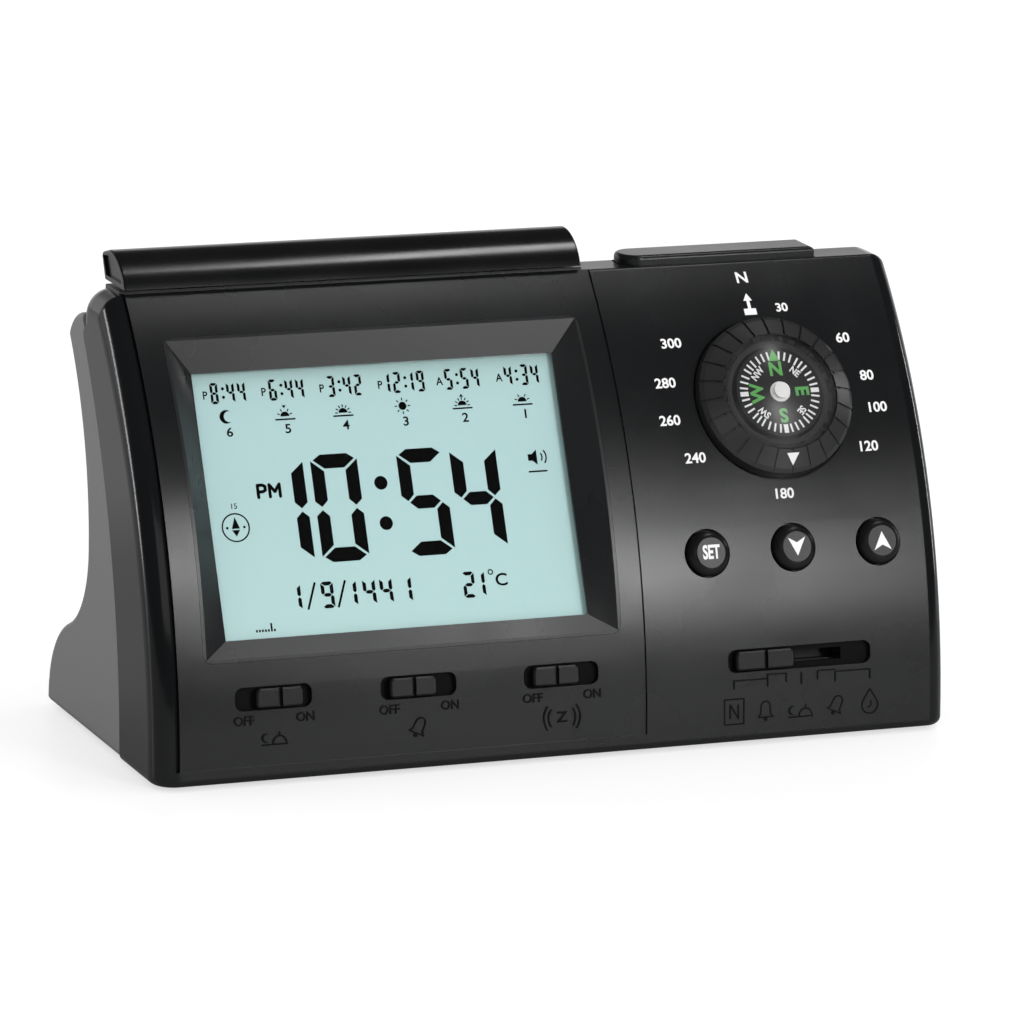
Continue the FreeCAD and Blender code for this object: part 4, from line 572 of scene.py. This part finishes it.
def dress_nodes(finishes):
    """Each carried-over node takes the finish of its slot in the record, or one of its own."""
    slots = {part["node"]: part["material_slot"] for part in frame["record"]["subparts"]}
    slots.update(OWN_FINISHES)
    for name, piece in frame["nodes"].items():
        piece.data.materials.clear()
        piece.data.materials.append(finishes[slots[name]])


# ---- display, about the middle of its glass ------------------------------------------------------

LIT_BARS = {"0": "abcdef", "1": "bc", "2": "abged", "3": "abgcd", "4": "fgbc", "5": "afgcd",
            "6": "afgedc", "8": "abcdefg", "9": "abcdfg"}  # no seven is shown
DigitStyle = namedtuple("DigitStyle", "width height thick gap pitch")
COLON_LEVELS = (0.3, 0.7)  # shares of the height
SLASH_RUN = 0.38  # share of the height
ONE_ROOM = 1.8  # room for a one, in thicknesses


def digit_bars(style):
    """The seven mitred bars of a digit, by letter, from its lower left corner.

    The mitres are shares of a bar's thickness.
    """
    width, height, thick, gap = style[:4]
    middle = height / 2
    top = [(0.14 * thick + gap, height - 0.4 * thick), (0.8 * thick, height),
           (width - 0.8 * thick, height), (width - 0.14 * thick - gap, height - 0.4 * thick),
           (width - thick - gap, height - 1.07 * thick), (thick + gap, height - 1.07 * thick)]
    upper_left = [(0, height - 0.45 * thick), (thick, height - 1.27 * thick),
                  (thick, middle + 0.6 * thick), (0.5 * thick, middle + 0.12 * thick),
                  (0, middle + 0.55 * thick)]
    centre = [(0.62 * thick, middle), (1.2 * thick, middle + thick / 2),
              (width - 1.2 * thick, middle + thick / 2), (width - 0.62 * thick, middle),
              (width - 1.2 * thick, middle - thick / 2), (1.2 * thick, middle - thick / 2)]

    def mirrored(shape):
        return [(width - x, y) for x, y in shape]

    def upside_down(shape):
        return [(x, height - y) for x, y in shape]

    return {"a": top, "f": upper_left, "g": centre, "b": mirrored(upper_left),
            "d": upside_down(top), "e": upside_down(upper_left),
            "c": mirrored(upside_down(upper_left))}


def digits(text, x, y, style):
    """Outlines of a row of digits; a colon, slash or one takes less room."""
    width, height, thick, _, pitch = style
    bars = digit_bars(style)
    shapes = []
    for sign in text:
        if sign == ":":
            shapes += [disc(0.6 * thick, x + thick * 0.7, y + height * share, 12)
                       for share in COLON_LEVELS]
            x += 0.5 * pitch
        elif sign == "/":
            shapes += stroke([(x, y), (x + SLASH_RUN * height, y + height)], 0.6 * thick)
            x += SLASH_RUN * height + 0.6 * thick
        elif sign == "1":
            shapes += [moved(bars[name], x - width + ONE_ROOM * thick, y)
                       for name in LIT_BARS[sign]]
            x += pitch - width + ONE_ROOM * thick
        else:
            shapes += [moved(bars[name], x, y) for name in LIT_BARS[sign]]
            x += pitch
    return shapes


BIG_DIGITS = DigitStyle(8.85, 19.5, 2.4, 0.16, 0.0)
BIG_FLOOR = -11.1
BIG_ONE_END = -15.3  # right edge of the lone one
BIG_PLACES = (("0", -13.85), ("5", 2.5), ("4", 12.65))  # left edges of the others
COLON_X = -1.05
COLON_HEIGHTS = (2.6, -4.75)
COLON_RADIUS = 1.25


def big_time():
    """The time in large digits: a lone one, then three full places and two round dots."""
    bars = digit_bars(BIG_DIGITS)
    one_x = BIG_ONE_END - BIG_DIGITS.width
    shapes = [moved(bars[name], one_x, BIG_FLOOR) for name in LIT_BARS["1"]]
    for sign, x in BIG_PLACES:
        shapes += [moved(bars[name], x, BIG_FLOOR) for name in LIT_BARS[sign]]
    return shapes + [disc(COLON_RADIUS, COLON_X, y) for y in COLON_HEIGHTS]


# The row of small times: the half of the day, the time, and where its letter starts.
SMALL_TIMES = (("P", "8:44", -32.3), ("P", "6:44", -21.3), ("P", "3:42", -10.3),
               ("P", "12:19", 0.8), ("A", "5:54", 12.2), ("A", "4:34", 23.7))
SMALL_DIGITS = DigitStyle(1.45, 3.85, 0.48, 0.04, 2.05)
SMALL_FLOOR = 18.7
SMALL_LETTER_ROOM = 1.5


def small_times():
    shapes = []
    for _, text, x in SMALL_TIMES:
        shapes += digits(text, x + SMALL_LETTER_ROOM, SMALL_FLOOR, SMALL_DIGITS)
    return shapes


# The row of sky signs under them, with the middle of each.
SKY = (("night", -28.4), ("low", -17.4), ("falling", -6.4), ("high", 5.0), ("rising", 16.4),
       ("first", 28.0))
SKY_HEIGHT = 16.3
HALF_SUN_RAYS = (0, 30, 60, 90, 120, 150, 180)
FEWER_RAYS = (20, 60, 120, 160)
SUN_RAY = (0.5, 0.2, 1.25)  # its length, its width and how far out its middle is


def sun_rays(angles, x, y):
    return [moved(turned(rectangle(*SUN_RAY), math.radians(angle)), x, y) for angle in angles]


def sky_sign(kind, x, y):
    """A generic sign: night, low sun, falling sun, high sun, rising sun or first light."""
    if kind == "night":
        return [arc(1.25, 60, 300, x, y) + arc(1.0, 285, 75, x + 0.55, y)]
    if kind == "high":
        return [disc(0.75, x, y, 16)] + sun_rays(range(0, 360, 45), x, y)
    base = y - 0.55
    shapes = stroke([(x - 1.9, y - 1.1), (x + 1.9, y - 1.1)], 0.28)
    shapes.append([(x - 0.85, base)] + arc(0.85, 180, 0, x, base))
    shapes += sun_rays(FEWER_RAYS if kind in ("low", "first") else HALF_SUN_RAYS, x, base)
    if kind == "rising":
        shapes.append([(x - 0.4, y + 1.0), (x + 0.4, y + 1.0), (x, y + 1.55)])
    if kind == "low":
        shapes.append([(x - 0.4, y + 1.45), (x + 0.4, y + 1.45), (x, y + 0.9)])
    return shapes


def sky_signs():
    return [shape for kind, x in SKY for shape in sky_sign(kind, x, SKY_HEIGHT)]


FINE_LINE = 0.26
WAVE_REACH = 38  # degrees that a sound wave reaches to each side
COMPASS_ICON_PLACE = (-29.3, -3.7)
SPEAKER_ICON_PLACE = (27.6, 5.4)


def compass_icon():
    """A small ring with a needle, beside the large digits."""
    x, y = COMPASS_ICON_PLACE
    upper = [(x - 0.75, y - 0.2), (x + 0.75, y - 0.2), (x, y + 1.9)]
    lower = [(x - 0.75, y - 0.45), (x, y - 1.6), (x + 0.75, y - 0.45)]
    dots = [disc(0.24, x + shift, y, 8) for shift in (-1.6, 1.6)]
    return circle_line(2.5, FINE_LINE, x, y) + [upper, lower] + dots


def speaker_icon():
    """A small loudspeaker with sound arcs and a line under it."""
    x, y = SPEAKER_ICON_PLACE
    horn = [(x, y - 0.6), (x + 0.8, y - 0.6), (x + 1.7, y - 1.4), (x + 1.7, y + 1.4),
            (x + 0.8, y + 0.6), (x, y + 0.6)]
    waves = [band(radius, FINE_LINE, -WAVE_REACH, WAVE_REACH, x + 1.6, y, 8)
             for radius in (1.1, 1.9)]
    return [horn] + waves + stroke([(x - 0.2, y - 2.6), (x + 3.4, y - 2.6)], 0.3)


HALF_SIGN_PLACE = (-24.3, 1.4)
HALF_SIGN_LINE = 0.58


def half_sign():
    """The letters P and M beside the large digits, drawn with rounded strokes."""
    loop = [(0, 0), (0, 2.2), (0.9, 2.2), (1.4, 1.95), (1.4, 1.25), (0.9, 1.0), (0, 1.0)]
    peaks = [(2.2, 0), (2.2, 2.2), (3.15, 0.9), (4.1, 2.2), (4.1, 0)]
    ends = [disc(HALF_SIGN_LINE / 2, x, y, 12)
            for x, y in (loop[0], loop[-1], peaks[0], peaks[-1])]
    shapes = stroke(loop, HALF_SIGN_LINE) + stroke(peaks, HALF_SIGN_LINE) + ends
    return [moved(shape, *HALF_SIGN_PLACE) for shape in shapes]


LOWER_FLOOR = -19.3  # of the date and the degrees
DATE_SIGNS = (("1", -20.0), ("/", -17.8), ("9", -15.0), ("/", -12.1), ("1", -9.5), ("4", -7.1),
              ("4", -3.9), ("1", 0.9))
DATE_DIGITS = DigitStyle(2.35, 4.8, 0.66, 0.06, 0.0)
DEGREE_DIGITS = DigitStyle(2.25, 4.75, 0.62, 0.06, 3.1)
DEGREES_X = 11.9


def date_row():
    return [shape for sign, x in DATE_SIGNS for shape in digits(sign, x, LOWER_FLOOR, DATE_DIGITS)]


WEEK_START = (-27.9, -22.7)
WEEK_PITCH = 0.56
DAY_WIDTH = 0.34
DAY_HEIGHTS = (0.45, 0.45, 0.45, 0.45, 0.45, 1.5, 0.45)  # one day is filled


def week_marks():
    """Small places for the days of the week."""
    x, y = WEEK_START
    return [rectangle(DAY_WIDTH, height, x + WEEK_PITCH * day, y + height / 2)
            for day, height in enumerate(DAY_HEIGHTS)]


def make_display(finishes):
    """The dark picture on the display: rows of bars and signs, then its letters and numbers."""
    coat = (finishes["display_ink"], "case", "black_resin")
    rows = {
        "display_time": big_time(),
        "display_times": small_times(),
        "display_date": date_row(),
        "display_degrees": digits("21", DEGREES_X, LOWER_FLOOR, DEGREE_DIGITS),
        "display_sky": sky_signs(),
        "display_compass": compass_icon(),
        "display_sound": speaker_icon(),
        "display_week": week_marks(),
        "display_pm": half_sign(),
    }
    for name, shapes in rows.items():
        prisms(name, shapes, DISPLAY_DEPTH, in_frame(DISPLAY), *coat)
    # Each word: its name, text, height, X, Y, stretch and extra weight.
    words = [("display_celsius", "C", 2.3, 19.3, -16.5, 1.1, 0.05),
             ("display_ring_mark", "15", 1.05, -29.2, 0.1, 1.0, 0.0)]
    for index, (half, _, x) in enumerate(SMALL_TIMES):
        words.append(("display_half_%d" % index, half, 1.5, x + 0.45, 20.3, 0.9, 0.03))
    for index, (_, x) in enumerate(SKY):
        number = str(len(SKY) - index)
        words.append(("display_number_%d" % index, number, 1.7, x + 0.3, 13.4, 1.1, 0.04))
    for name, text, height, x, y, stretch, weight in words:
        place = in_frame(DISPLAY @ Matrix.Translation((x, y, 0)))
        letters(name, text, height, place, *coat, stretch=stretch, weight=weight,
                depth=DISPLAY_DEPTH)
    degree_sign = circle_line(0.42, 0.2, 17.4, -14.9)
    prisms("display_degree_sign", degree_sign, DISPLAY_DEPTH, in_frame(DISPLAY), *coat)


# ---- compass card and ring -----------------------------------------------------------------------

TICKS = 40
TICK_OUTER = 7.75
TICK_LENGTH = 1.6
FINE_TICK = 0.34
WIDE_TICK = 0.85
TICK_SHIFTS = {4: 1.2, 6: -1.2}  # degrees that the ticks beside a half-way letter give way
NORTH_MARK = [(-1.15, 5.95), (1.15, 5.95), (0, 8.1)]
RING_MARK = [(-1.2, 1.1), (0, -1.25), (1.2, 1.1)]
RING_MARK_SHIFT = 0.35


def card_ticks():
    """The ticks of the card, without the one that the north mark stands for."""
    ticks = []
    for step in range(1, TICKS):
        width = WIDE_TICK if step % 10 == 0 else FINE_TICK
        shift = TICK_SHIFTS.get(step % 10, 0.0)
        angle = math.radians(90 - 360 // TICKS * step - shift)
        bar = rectangle(TICK_LENGTH, width, TICK_OUTER - TICK_LENGTH / 2)
        ticks.append(turned(bar, angle))
    return ticks


def make_compass(finishes):
    white = (finishes["print_white"], "needle", "cap_plastic")
    green = (finishes["print_green"], "needle", "cap_plastic")
    card = COMPASS @ Matrix.Translation((0, 0, CARD_TOP))
    prisms("compass_ticks", card_ticks(), PRINT_DEPTH, in_frame(card), *white)
    prisms("compass_north_mark", [NORTH_MARK], PRINT_DEPTH, in_frame(card), *green)
    # Each set: its texts, quarter turns before the first, radius, height, coat, stretch and weight.
    for texts, start, radius, height, coat, stretch, weight in (
            (("N", "E", "S", "W"), 0.0, 4.3, 2.6, green, 1.0, 0.12),
            (("NE", "SE", "SW", "NW"), 0.5, 5.15, 1.35, white, 0.85, 0.05)):
        for index, text in enumerate(texts):
            turn = Matrix.Rotation(-(index + start) * math.pi / 2, 4, "Z")
            place = in_frame(card @ turn @ Matrix.Translation((0, radius, 0)))
            letters("compass_" + text, text, height, place, *coat, stretch=stretch, weight=weight)
    slope = math.atan2(RING_CREST[1] - RING_EDGE[1], RING_EDGE[0] - RING_CREST[0])
    radius = (RING_EDGE[0] + RING_CREST[0]) / 2
    level = (RING_EDGE[1] + RING_CREST[1]) / 2
    flank = (COMPASS @ Matrix.Translation((RING_MARK_SHIFT, -radius, level))
             @ Matrix.Rotation(slope, 4, "X"))
    prisms("ring_mark", [RING_MARK], PRINT_DEPTH, in_frame(flank), finishes["print_white"], "ring",
           "cap_plastic")


# ---- prints on the keys and the face -------------------------------------------------------------

KEY_ARROW = [(0, -1.65), (1.7, 1.7), (0, 0.75), (-1.7, 1.7)]
NORTH_ARROW = [(-1.2, -1.6), (-1.2, -0.35), (-0.3, -0.3), (-0.3, 1.3), (-0.85, 1.3), (0, 2.8),
               (0.85, 1.3), (0.3, 1.3), (0.3, -0.3), (1.2, -0.35), (1.2, -1.6)]
COMPASS_X = 122.3
# Plain bearings round the compass: distance from the left side, height and size.
BEARINGS = {"30": (128.6, 73.9, 1.7), "300": (105.3, 69.2, 1.9), "280": (102.6, 62.9, 1.9),
            "260": (102.2, 56.8, 1.9), "240": (106.0, 50.4, 1.9), "60": (139.2, 68.5, 1.9),
            "80": (142.4, 62.2, 1.9), "100": (143.2, 56.9, 1.9), "120": (140.2, 50.5, 1.9),
            "180": (COMPASS_X, 43.5, 1.9)}


def key_top(name):
    """The flat top of a front key."""
    lean = math.asin((KEY_HEIGHT + FACE_DROP) / FACE_RADIUS)
    middle = on_face(case_x(name), KEY_HEIGHT, KEY_RISE)(Vector())
    return in_frame(leaning(middle, lean))


def make_key_prints(finishes):
    def coat(body):
        return finishes["print_white"], body, "cap_plastic"

    letters("set_print", "SET", 2.5, key_top("set_button"), *coat("set_key"), stretch=0.62,
            weight=0.12)
    for name, arrow in (("down", KEY_ARROW), ("up", turned(KEY_ARROW, math.pi))):
        prisms(name + "_print", [arrow], PRINT_DEPTH, key_top(name + "_button"),
               *coat(name + "_key"))


def make_face_prints(finishes):
    """White marks around the compass: the north arrow, its letter and plain bearings in degrees."""
    coat = (finishes["print_white"], "case", "cap_plastic")
    prisms("north_arrow", [NORTH_ARROW], PRINT_DEPTH, on_face(COMPASS_X, 74.3), *coat)
    marks = [("north_letter", "N", (COMPASS_X, 78.9, 2.3))]
    marks += [("bearing_" + text, text, place) for text, place in BEARINGS.items()]
    for name, text, (x, height, size) in marks:
        letters(name, text, size, on_face(x, height), *coat, stretch=1.05, weight=0.06)


# ---- raised marks under the slots ----------------------------------------------------------------

RAISED_LINE = 0.26


def bell_marks(x, y, lean=0.0):
    """A bell drawn with raised lines."""
    outline = [(-1.5, -1.4), (-1.0, -0.9), (-0.9, 0.6)] + arc(0.9, 180, 0, 0, 0.6, 6)
    outline += [(0.9, 0.6), (1.0, -0.9), (1.5, -1.4), (-1.5, -1.4)]
    shapes = stroke(outline, RAISED_LINE) + [disc(0.38, 0, -1.8, 12)]
    return [moved(turned(shape, math.radians(lean)), x, y) for shape in shapes]


def dome_marks(x, y):
    """A small dome on a base line with a crescent beside it, drawn with raised lines."""
    dome = [(-0.2, -1.0)] + arc(1.25, 180, 0, 1.0, -1.0, 8) + [(2.3, -1.0)]
    shapes = stroke(dome, RAISED_LINE) + stroke([(-2.4, -1.25), (2.5, -1.25)], RAISED_LINE)
    shapes += stroke([(1.0, 0.3), (1.0, 1.0)], 0.22)
    shapes.append(arc(0.85, 50, 290, -1.6, 0.0) + arc(0.7, 275, 65, -1.3, 0.0))
    return [moved(shape, x, y) for shape in shapes]


def box_marks(x, y):
    side = [(-1.9, -2.3), (1.9, -2.3), (1.9, 2.3), (-1.9, 2.3), (-1.9, -2.3)]
    letter = [(-0.8, -1.3), (-0.8, 1.3), (0.8, -1.3), (0.8, 1.3)]
    return [moved(shape, x, y) for shape in stroke(side, RAISED_LINE) + stroke(letter, 0.3)]


def drop_marks(x, y):
    outline = [(0, 2.3)] + arc(1.6, 40, -220, 0, -0.7, 14) + [(0, 2.3)]
    hands = [(0.2, 0.2), (0.2, -0.8), (-0.5, -1.2)]
    return [moved(shape, x, y) for shape in stroke(outline, RAISED_LINE) + stroke(hands, 0.24)]


# Marks of the short slots: how high above the underside, and how far from a slot's middle.
ENDS_HEIGHT = 11.1
SLOT_ENDS = (("OFF", -5.6), ("ON", 5.9))
SIGN_HEIGHT = 7.9
SNOOZE_HEIGHT = 7.3
# Marks of the long slot: the middle they are bent about, its signs, and the lines up to its steps.
MODE_X = 123.4
MODE_SIGNS_HEIGHT = 5.9
MODE_LEADS_HEIGHT = 11.2
MODE_LEADS = (
    [(-13.3, -1.2), (-13.3, 0.3), (-6.7, 0.3), (-6.7, -1.2)],
    [(-6.7, 0.3), (-6.7, 1.0), (-3.0, 1.0), (-3.0, -0.6)],
    [(0, 1.0), (0, -1.2)],
    [(3.2, -0.6), (3.2, 1.0), (6.7, 1.0)],
    [(6.7, -1.2), (6.7, 0.6), (13.6, 0.6), (13.6, -1.2)],
)


def make_raised_marks(finishes):
    """Raised signs under the slots, in the shell's own black."""
    coat = (finishes["raised_black"], "case", "black_shell")
    # Each short slot: its name, which way its middle is from its knob, and its sign.
    for name, side, sign in (("azan", -1, dome_marks(0, 0)), ("alarm", 1, bell_marks(0, 0, -25)),
                             ("snooze", 1, [])):
        middle = case_x(name + "_switch_knob") + side * KNOB_SHIFT
        for text, shift in SLOT_ENDS:
            place = on_face(middle + shift, ENDS_HEIGHT, radius=LEFT_FACE_RADIUS)
            letters("%s_%s_mark" % (name, text.lower()), text, 1.7, place, *coat, stretch=0.95,
                    weight=0.03, depth=EMBOSS_DEPTH)
        if sign:
            place = on_face(middle, SIGN_HEIGHT, radius=LEFT_FACE_RADIUS)
            prisms(name + "_sign", sign, EMBOSS_DEPTH, place, *coat)
        else:
            place = on_face(middle, SNOOZE_HEIGHT, radius=LEFT_FACE_RADIUS)
            letters("snooze_sign", "Z", 2.0, place, *coat, stretch=1.1, weight=0.04,
                    depth=EMBOSS_DEPTH)
            waves = [band(radius, 0.28, angle - WAVE_REACH, angle + WAVE_REACH)
                     for radius in (2.6, 3.5) for angle in (0, 180)]
            prisms("snooze_waves", waves, EMBOSS_DEPTH, place, *coat)
    signs = (box_marks(110.1 - MODE_X, 0) + bell_marks(116.3 - MODE_X, 0)
             + dome_marks(123.2 - MODE_X, -0.6) + bell_marks(130.4 - MODE_X, 0, -25)
             + drop_marks(137.0 - MODE_X, 0))
    prisms("mode_signs", signs, LOW_EMBOSS_DEPTH, on_face(MODE_X, MODE_SIGNS_HEIGHT), *coat)
    lines = [shape for lead in MODE_LEADS for shape in stroke(lead, 0.24)]
    prisms("mode_leads", lines, EMBOSS_DEPTH, on_face(MODE_X, MODE_LEADS_HEIGHT), *coat)


# ---- floor, light and camera ---------------------------------------------------------------------

FLOOR_REACH = 3.0
FLOOR_GLOW = 0.64  # its own light where the camera sees it, which lifts it to near white
MIRRORED_GLOW = 0.17  # its own light where glossy pieces mirror it, behind the object only
MIRRORED_RISE = (0.13, 0.19)  # how far back the mirrored light starts and is full, in metres


def make_floor():
    """A wide pale floor with a light of its own."""
    work = bmesh.new()
    bmesh.ops.create_grid(work, x_segments=4, y_segments=4, size=FLOOR_REACH)
    mesh = mesh_from(work, "floor")
    floor = add_object("floor", mesh)
    material, tree, shader = start_material("floor_pale")
    shader.inputs["Base Color"].default_value = (0.4, 0.4, 0.4, 1)
    tree.links.new(spread(tree, noise(tree, 8.0), 0.42, 0.5), shader.inputs["Roughness"])
    shader.inputs["Emission Color"].default_value = (1, 1, 1, 1)
    back = parts_of(tree, object_place(tree))["Y"]
    mirrored = spread(tree, back, 0.0, MIRRORED_GLOW, *MIRRORED_RISE)
    rays = tree.nodes.new("ShaderNodeLightPath").outputs
    direct = combined(tree, "MULTIPLY", rays["Is Camera Ray"], FLOOR_GLOW)
    glossy = combined(tree, "MULTIPLY", rays["Is Glossy Ray"], mirrored)
    glow = combined(tree, "ADD", direct, glossy)
    tree.links.new(glow, shader.inputs["Emission Strength"])
    mesh.materials.append(material)


WORLD_FILL = 0.85  # plain fill on matt surfaces
FRONT_DIM = 0.04  # what glossy pieces mirror from in front and from above
BRIGHT_BEHIND = (0.25, 0.5)  # how far back a direction points where white starts and is full
BRIGHT_BELOW = (0.3, 0.42)  # how far up one points where white starts to fade and is gone


def make_world():
    """White behind and around the object where it is seen, and a weaker plain fill elsewhere."""
    world = bpy.data.worlds.new("studio")
    bpy.context.scene.world = world
    world.use_nodes = True
    tree = world.node_tree
    light = first_node(tree, "BACKGROUND")
    direction = parts_of(tree, tree.nodes.new("ShaderNodeTexCoord").outputs["Generated"])
    behind = spread(tree, direction["Y"], FRONT_DIM, 1.0, *BRIGHT_BEHIND)
    low = spread(tree, direction["Z"], 1.0, FRONT_DIM, *BRIGHT_BELOW)
    rays = tree.nodes.new("ShaderNodeLightPath").outputs
    unseen = tree.nodes.new("ShaderNodeMix")
    unseen.inputs["A"].default_value = WORLD_FILL
    tree.links.new(rays["Is Glossy Ray"], unseen.inputs["Factor"])
    tree.links.new(combined(tree, "MINIMUM", behind, low), unseen.inputs["B"])
    seen = combined(tree, "MAXIMUM", rays["Is Camera Ray"], rays["Is Transmission Ray"])
    strength = combined(tree, "MAXIMUM", unseen.outputs["Result"], seen)
    tree.links.new(strength, light.inputs["Strength"])
    light.inputs["Color"].default_value = (1, 1, 1, 1)


# Each lamp: its name, place, width and height, all in metres, and its brightness.
LAMPS = (("front_box", (0.337, -0.83, 0.262), 0.1, 0.21, 25.0),
         ("upper_box", (0.235, -0.8, 0.43), 0.13, 0.19, 18.0),
         ("top_box", (0.34, -0.12, 0.95), 0.3, 0.09, 13.0),
         ("side_box", (-0.42, -0.78, 0.36), 0.4, 0.3, 0.7),
         ("left_strip", (-0.9, 0.34, 0.15), 0.08, 0.5, 11.0),
         ("right_strip", (0.97, 0.08, 0.15), 0.05, 0.5, 14.0))
LAMP_AIM = Vector((0.0, 0.0, 0.04))


def soft_box(name, place, width, height, radiance):
    """A rectangular lamp of an even brightness, turned to what it lights."""
    lamp = bpy.data.lights.new(name, "AREA")
    lamp.shape = "RECTANGLE"
    lamp.size = width
    lamp.size_y = height
    lamp.energy = radiance * math.pi * width * height
    holder = add_object(name, lamp)
    holder.location = place
    holder.rotation_euler = (LAMP_AIM - Vector(place)).to_track_quat("-Z", "Y").to_euler()
    holder.visible_camera = False


CAMERA_PLACE = (-383.163, -1099.462, 334.530)  # in millimetres, from the case's own corner
CAMERA_AZIMUTH = math.radians(22.206)
CAMERA_ELEVATION = math.radians(13.657)
CAMERA_ROLL = math.radians(1.568)
FOCAL_PIXELS = 6920.77  # focal length of the fitted camera, for a frame of this width
FRAME_PIXELS = 1024
SENSOR = 36.0
NEAR_CLIP = 0.05
FAR_CLIP = 20.0


def make_camera():
    """The camera of the photograph's view, from its angles and its place in the case's own axes."""
    ahead = Vector((math.sin(CAMERA_AZIMUTH) * math.cos(CAMERA_ELEVATION),
                    math.cos(CAMERA_AZIMUTH) * math.cos(CAMERA_ELEVATION),
                    -math.sin(CAMERA_ELEVATION)))
    right = Vector((math.cos(CAMERA_AZIMUTH), -math.sin(CAMERA_AZIMUTH), 0))
    up = right.cross(ahead)
    right, up = (right * math.cos(CAMERA_ROLL) + up * math.sin(CAMERA_ROLL),
                 up * math.cos(CAMERA_ROLL) - right * math.sin(CAMERA_ROLL))
    lens = bpy.data.cameras.new("camera")
    lens.sensor_width = SENSOR
    lens.lens = FOCAL_PIXELS / FRAME_PIXELS * SENSOR
    lens.clip_start = NEAR_CLIP
    lens.clip_end = FAR_CLIP
    camera = add_object("camera", lens)
    camera.matrix_world = (Matrix.Translation(corner + Vector(CAMERA_PLACE) * MM)
                           @ Matrix((right, up, -ahead)).transposed().to_4x4())
    bpy.context.scene.camera = camera


def main():
    finishes = make_finishes()
    dress_nodes(finishes)
    for make_pieces in (make_display, make_compass, make_key_prints, make_face_prints,
                        make_raised_marks):
        make_pieces(finishes)
    make_floor()
    make_world()
    for lamp in LAMPS:
        soft_box(*lamp)
    make_camera()
    bpy.context.scene.view_settings.view_transform = "Standard"


main()
